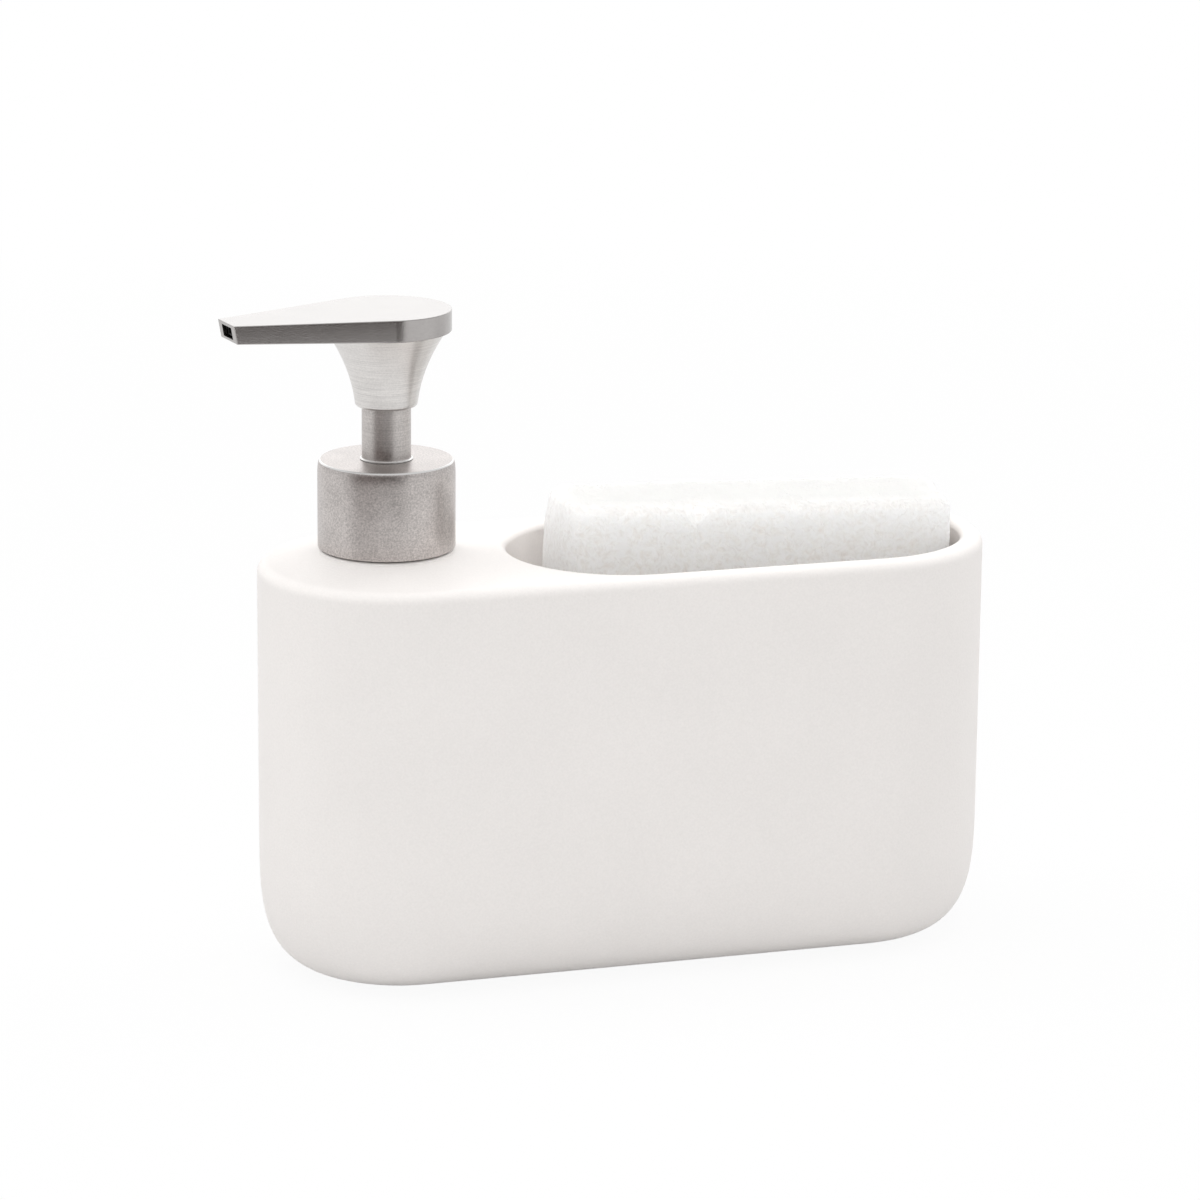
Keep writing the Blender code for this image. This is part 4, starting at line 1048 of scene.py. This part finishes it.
def cell_relief(place):
    """How far the sponge's skin stands in or out at a place: open cells, crumbs and a rough cut."""
    point = Vector(place) / MILLIMETRE
    distances, centres = noise.voronoi(point / CELL_SPACING)
    pit = fade(distances[0], CELL_REACH)
    if noise.cell(centres[0] * 3.1) <= SHUT_CELLS:
        pit = 0.0
    crumb = noise.fractal(point / CRUMB_SPACING, 0.8, 2.2, 3)
    swell = noise.noise(point / SWELL_SPACING)
    return (crumb * CRUMB_DEPTH - pit * CELL_DEPTH + swell * SWELL_DEPTH) * MILLIMETRE


def sponge_wear(place):
    """Where the worn and cut sponge's skin lies, from its place on the plain block."""
    x, y, z = place
    half_length, half_thickness = SPONGE_LENGTH / 2, SPONGE_THICKNESS / 2
    below = SPONGE_HEIGHT - z
    behind = y + half_thickness
    ragged = 0.5 + 0.5 * noise.noise(Vector((x * 230.0, 3.0, z * 120.0)))
    wear = fade(below + behind, SPONGE_WEAR_REACH) * (0.35 + 0.65 * ragged) * (
        SPONGE_WEAR_DEPTH * (1.0 - 0.6 * x / half_length))
    inwards, downwards = SPONGE_WEAR_SHARES
    y += wear * inwards
    z -= wear * downwards
    for centre, half_width, drop, depth in SPONGE_CHIPS:
        chip = fade(abs(x - centre) / half_width + below / drop, 1.0) * depth
        y += chip * fade(behind, SPONGE_THICKNESS)
    left = x + half_length
    flatness, drop = SPONGE_LEFT_CORNER
    corner = fade(below * flatness + left, SPONGE_CORNER_REACH)
    z -= corner * drop
    x += corner * SPONGE_CORNER_IN
    side = fade(left + behind, SPONGE_END_ROUND) * SPONGE_END_ROUND_DEPTH
    x += side
    y += side
    flatness, drop = SPONGE_RIGHT_CORNER
    corner = fade(below * flatness + half_length + SPONGE_OBLIQUE_CUT - x, SPONGE_CORNER_REACH)
    z -= corner * drop
    x -= corner * SPONGE_CORNER_IN
    if x > 0.0 and y > 0.0:
        free = min(1.0, max(0.0, (z - SPONGE_FREE_HEIGHT) / (SPONGE_HEIGHT - SPONGE_FREE_HEIGHT)))
        x += SPONGE_BULGE * free ** 0.6 * (x / half_length) ** 6 * (y / half_thickness)
    return Vector((x, y, z))


def sponge():
    """The block sponge: softened corners, an oblique end, a worn front edge and open cells."""
    made = block("sponge_block", (0.0, 0.0, SPONGE_HEIGHT / 2),
                 (SPONGE_LENGTH, SPONGE_THICKNESS, SPONGE_HEIGHT))
    edit(made)
    select_verts(made, lambda place: place.x > 0.0 and place.y > 0.0)
    bpy.ops.transform.translate(value=(SPONGE_OBLIQUE_CUT, 0.0, 0.0))
    leave_edit()
    apply_modifier(made, "BEVEL", width=SPONGE_ROUND, segments=4)
    apply_modifier(made, "REMESH", mode="VOXEL", voxel_size=SPONGE_GRID)
    mesh = made.data
    mesh.update()
    skin = [(vert.co.copy(), vert.normal.copy()) for vert in mesh.vertices]
    places = []
    for place, normal in skin:
        places.extend(sponge_wear(place) + normal * cell_relief(place))
    mesh.vertices.foreach_set("co", places)
    mesh.update()
    mesh.transform(Matrix.Translation(SPONGE_PLACE) @ Matrix.Rotation(SPONGE_YAW, 4, "Z")
                   @ Matrix.Rotation(SPONGE_TILT, 4, "Y"))
    only(made)
    bpy.ops.object.shade_smooth()
    return made


def dress(piece, node, body, material):
    """Give a piece its finish, and let it stand for its CAD node and ride on its body."""
    piece.data.materials.clear()
    piece.data.materials.append(material)
    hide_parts(node)
    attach(piece, body)
    return piece


def add_camera():
    """The camera where the photograph was taken from."""
    azimuth, elevation = CAMERA_AZIMUTH, CAMERA_ELEVATION
    forward = Vector((math.sin(azimuth) * math.cos(elevation), math.cos(azimuth) * math.cos(elevation),
                      -math.sin(elevation)))
    level = Vector((math.cos(azimuth), -math.sin(azimuth), 0.0))
    upright = level.cross(forward)
    right = level * math.cos(CAMERA_ROLL) + upright * math.sin(CAMERA_ROLL)
    up = upright * math.cos(CAMERA_ROLL) - level * math.sin(CAMERA_ROLL)
    scale = CAMERA_DISTANCE / FOCAL_PIXELS
    sideways = (AIM_PIXEL[0] - IMAGE_WIDTH / 2) * scale
    upwards = (IMAGE_WIDTH / 2 - AIM_PIXEL[1]) * scale
    camera = linked("camera", bpy.data.cameras.new("camera"))
    camera.matrix_world = Matrix((right, up, -forward)).transposed().to_4x4()
    camera.location = AIM_POINT - forward * CAMERA_DISTANCE - right * sideways - up * upwards
    camera.data.sensor_width = SENSOR_WIDTH
    camera.data.lens = SENSOR_WIDTH * FOCAL_PIXELS / IMAGE_WIDTH
    bpy.context.scene.camera = camera


def add_lamp(name, place, side, power):
    """A soft square lamp that faces the object and isn't seen in the steel."""
    lamp = bpy.data.lights.new(name, "AREA")
    lamp.shape = "SQUARE"
    lamp.size = side
    lamp.energy = power
    made = linked(name, lamp)
    made.location = place
    made.rotation_euler = (LAMP_TARGET - Vector(place)).to_track_quat("-Z", "Y").to_euler()
    made.visible_glossy = False


def add_card(name, bearing, spread, distance, foot, top, level, tint):
    """An upright card round the pump that only the steel's reflections show."""
    angle = math.radians(bearing)
    place = (PUMP_X + distance * math.cos(angle), distance * math.sin(angle), (foot + top) / 2)
    card = plane(name, 1.0, place, (math.pi / 2, 0.0, angle - math.pi / 2))
    card.scale = (2 * distance * math.tan(math.radians(spread) / 2), top - foot, 1.0)
    for ray in ("camera", "diffuse", "transmission", "volume_scatter", "shadow"):
        setattr(card, "visible_" + ray, False)
    material = bpy.data.materials.new(name)
    look = Graph(material)
    glow = look.node("ShaderNodeEmission", {}, {"Color": tint, "Strength": level})
    look.node("ShaderNodeOutputMaterial", {}, {"Surface": glow})
    card.data.materials.append(material)


def add_room():
    """A white room round the object: full white to the camera, and a dimmer, even light."""
    world = bpy.data.worlds.new("White room")
    bpy.context.scene.world = world
    look = Graph(world)
    level = look.node("ShaderNodeMapRange", {}, {"Value": look.seen(), "To Min": ROOM_LEVEL,
                                                 "To Max": ROOM_LEVEL_IN_STEEL})
    strength = level.math("MAXIMUM", level, look.ray("Camera"))
    glow = look.node("ShaderNodeBackground", {}, {"Color": WHITE, "Strength": strength})
    look.node("ShaderNodeOutputWorld", {}, {"Surface": glow})


def add_floor():
    """A white floor that keeps a faint shadow of the object."""
    floor = plane("floor", FLOOR_SIZE, (0.0, 0.0, 0.0))
    material = bpy.data.materials.new("White floor")
    look = Graph(material)
    here = look.node("ShaderNodeTexCoord", output="Object")
    away = look.node("ShaderNodeVectorMath", {"operation": "LENGTH"}, {0: here}, "Value")
    near, far = FLOOR_GLOW_NEAR, FLOOR_GLOW_FAR
    level = look.node("ShaderNodeMapRange", {}, {"Value": away, "From Min": near[0], "To Min": near[1],
                                                 "From Max": far[0], "To Max": far[1]})
    matt = look.node("ShaderNodeBsdfDiffuse", {}, {"Color": FLOOR_COLOUR})
    glow = look.node("ShaderNodeEmission", {}, {"Color": WHITE})
    both = look.node("ShaderNodeMixShader", {}, {"Fac": look.seen() * level, 1: matt, 2: glow})
    look.node("ShaderNodeOutputMaterial", {}, {"Surface": both})
    floor.data.materials.append(material)


def add_studio():
    add_room()
    add_floor()
    for lamp in LAMPS:
        add_lamp(*lamp)
    for card in REFLECTION_CARDS:
        add_card(*card)


def add_pieces():
    """Every piece of the dispenser, in its finish and on its body."""
    collar_steel = turned_steel("Satin steel collar", COLLAR_STEEL, roughness=0.29, line_share=0.12,
                                grain_share=0.70, contrast=0.24, highlight_band=COVER_HIGHLIGHT_BAND)
    sleeve_steel = turned_steel("Satin steel sleeve", SLEEVE_STEEL, roughness=0.31, line_share=0.40,
                                grain_share=0.45, contrast=0.22, highlight_band=SLEEVE_HIGHLIGHT_BAND)
    cone_steel = turned_steel("Brushed steel cone", CONE_STEEL, roughness=0.24, line_share=0.62,
                              grain_share=0.25, contrast=0.17)
    wire = turned_steel("Drawn spring wire", SPRING_STEEL, roughness=0.16, line_share=0.30,
                        grain_share=0.40, contrast=0.06)
    white = moulded("White moulded plastic", WHITE_PLASTIC, roughness=0.38)
    natural = moulded("Natural moulded plastic", NATURAL_PLASTIC, roughness=0.26)
    black = moulded("Black moulded plastic", BLACK_PLASTIC, roughness=0.42)
    rubber = moulded("White silicone", SILICONE, roughness=0.62)
    gasket = foam("Gasket foam", GASKET_FOAM, cell_scale=2600.0, relief=0.00006)
    cells = foam("White sponge", SPONGE_FOAM, cell_scale=820.0, relief=0.00020, top=SPONGE_TOP,
                 Subsurface_Weight=1.0, Subsurface_Radius=(1.0, 1.0, 1.0), Subsurface_Scale=0.015,
                 Specular_IOR_Level=0.08)
    rows = (
        (ceramic_vessel, "vessel", "ceramic", ceramic()),
        (neck_insert, "neck", "white_plastic", white),
        (neck_seal, "neck", "silicone", rubber),
        (screw_cap, "closure", "white_plastic", white),
        (collar_cover, "closure", "satin_steel", collar_steel),
        (housing_gasket, "pump", "gasket", gasket),
        (pump_housing, "pump", "natural_plastic", natural),
        (stem_guide, "pump", "white_plastic", white),
        (neck_sleeve, "pump", "satin_steel", sleeve_steel),
        (return_spring, "pump", "spring_steel", wire),
        (dip_tube, "pump", "natural_plastic", natural),
        (inlet_ball, "ball", "spring_steel", wire),
        (piston, "piston", "natural_plastic", natural),
        (plunger_rod, "head", "natural_plastic", natural),
        (stem, "head", "natural_plastic", natural),
        (actuator_core, "head", "white_plastic", white),
        (head_cone, "head", "satin_steel", cone_steel),
        (head_plate, "head", "satin_steel", plate_steel()),
        (spout_tube, "head", "black_plastic", black),
        (sponge, "sponge", "sponge", cells),
    )
    pieces = {}
    for make, body, slot, material in rows:
        node = make.__name__    # each piece's function has its CAD node's name
        pieces[node] = dress(make(), node, body, material)
    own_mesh(pieces["return_spring"])


add_camera()
add_studio()
add_pieces()
bpy.context.scene.view_settings.view_transform = "Standard"
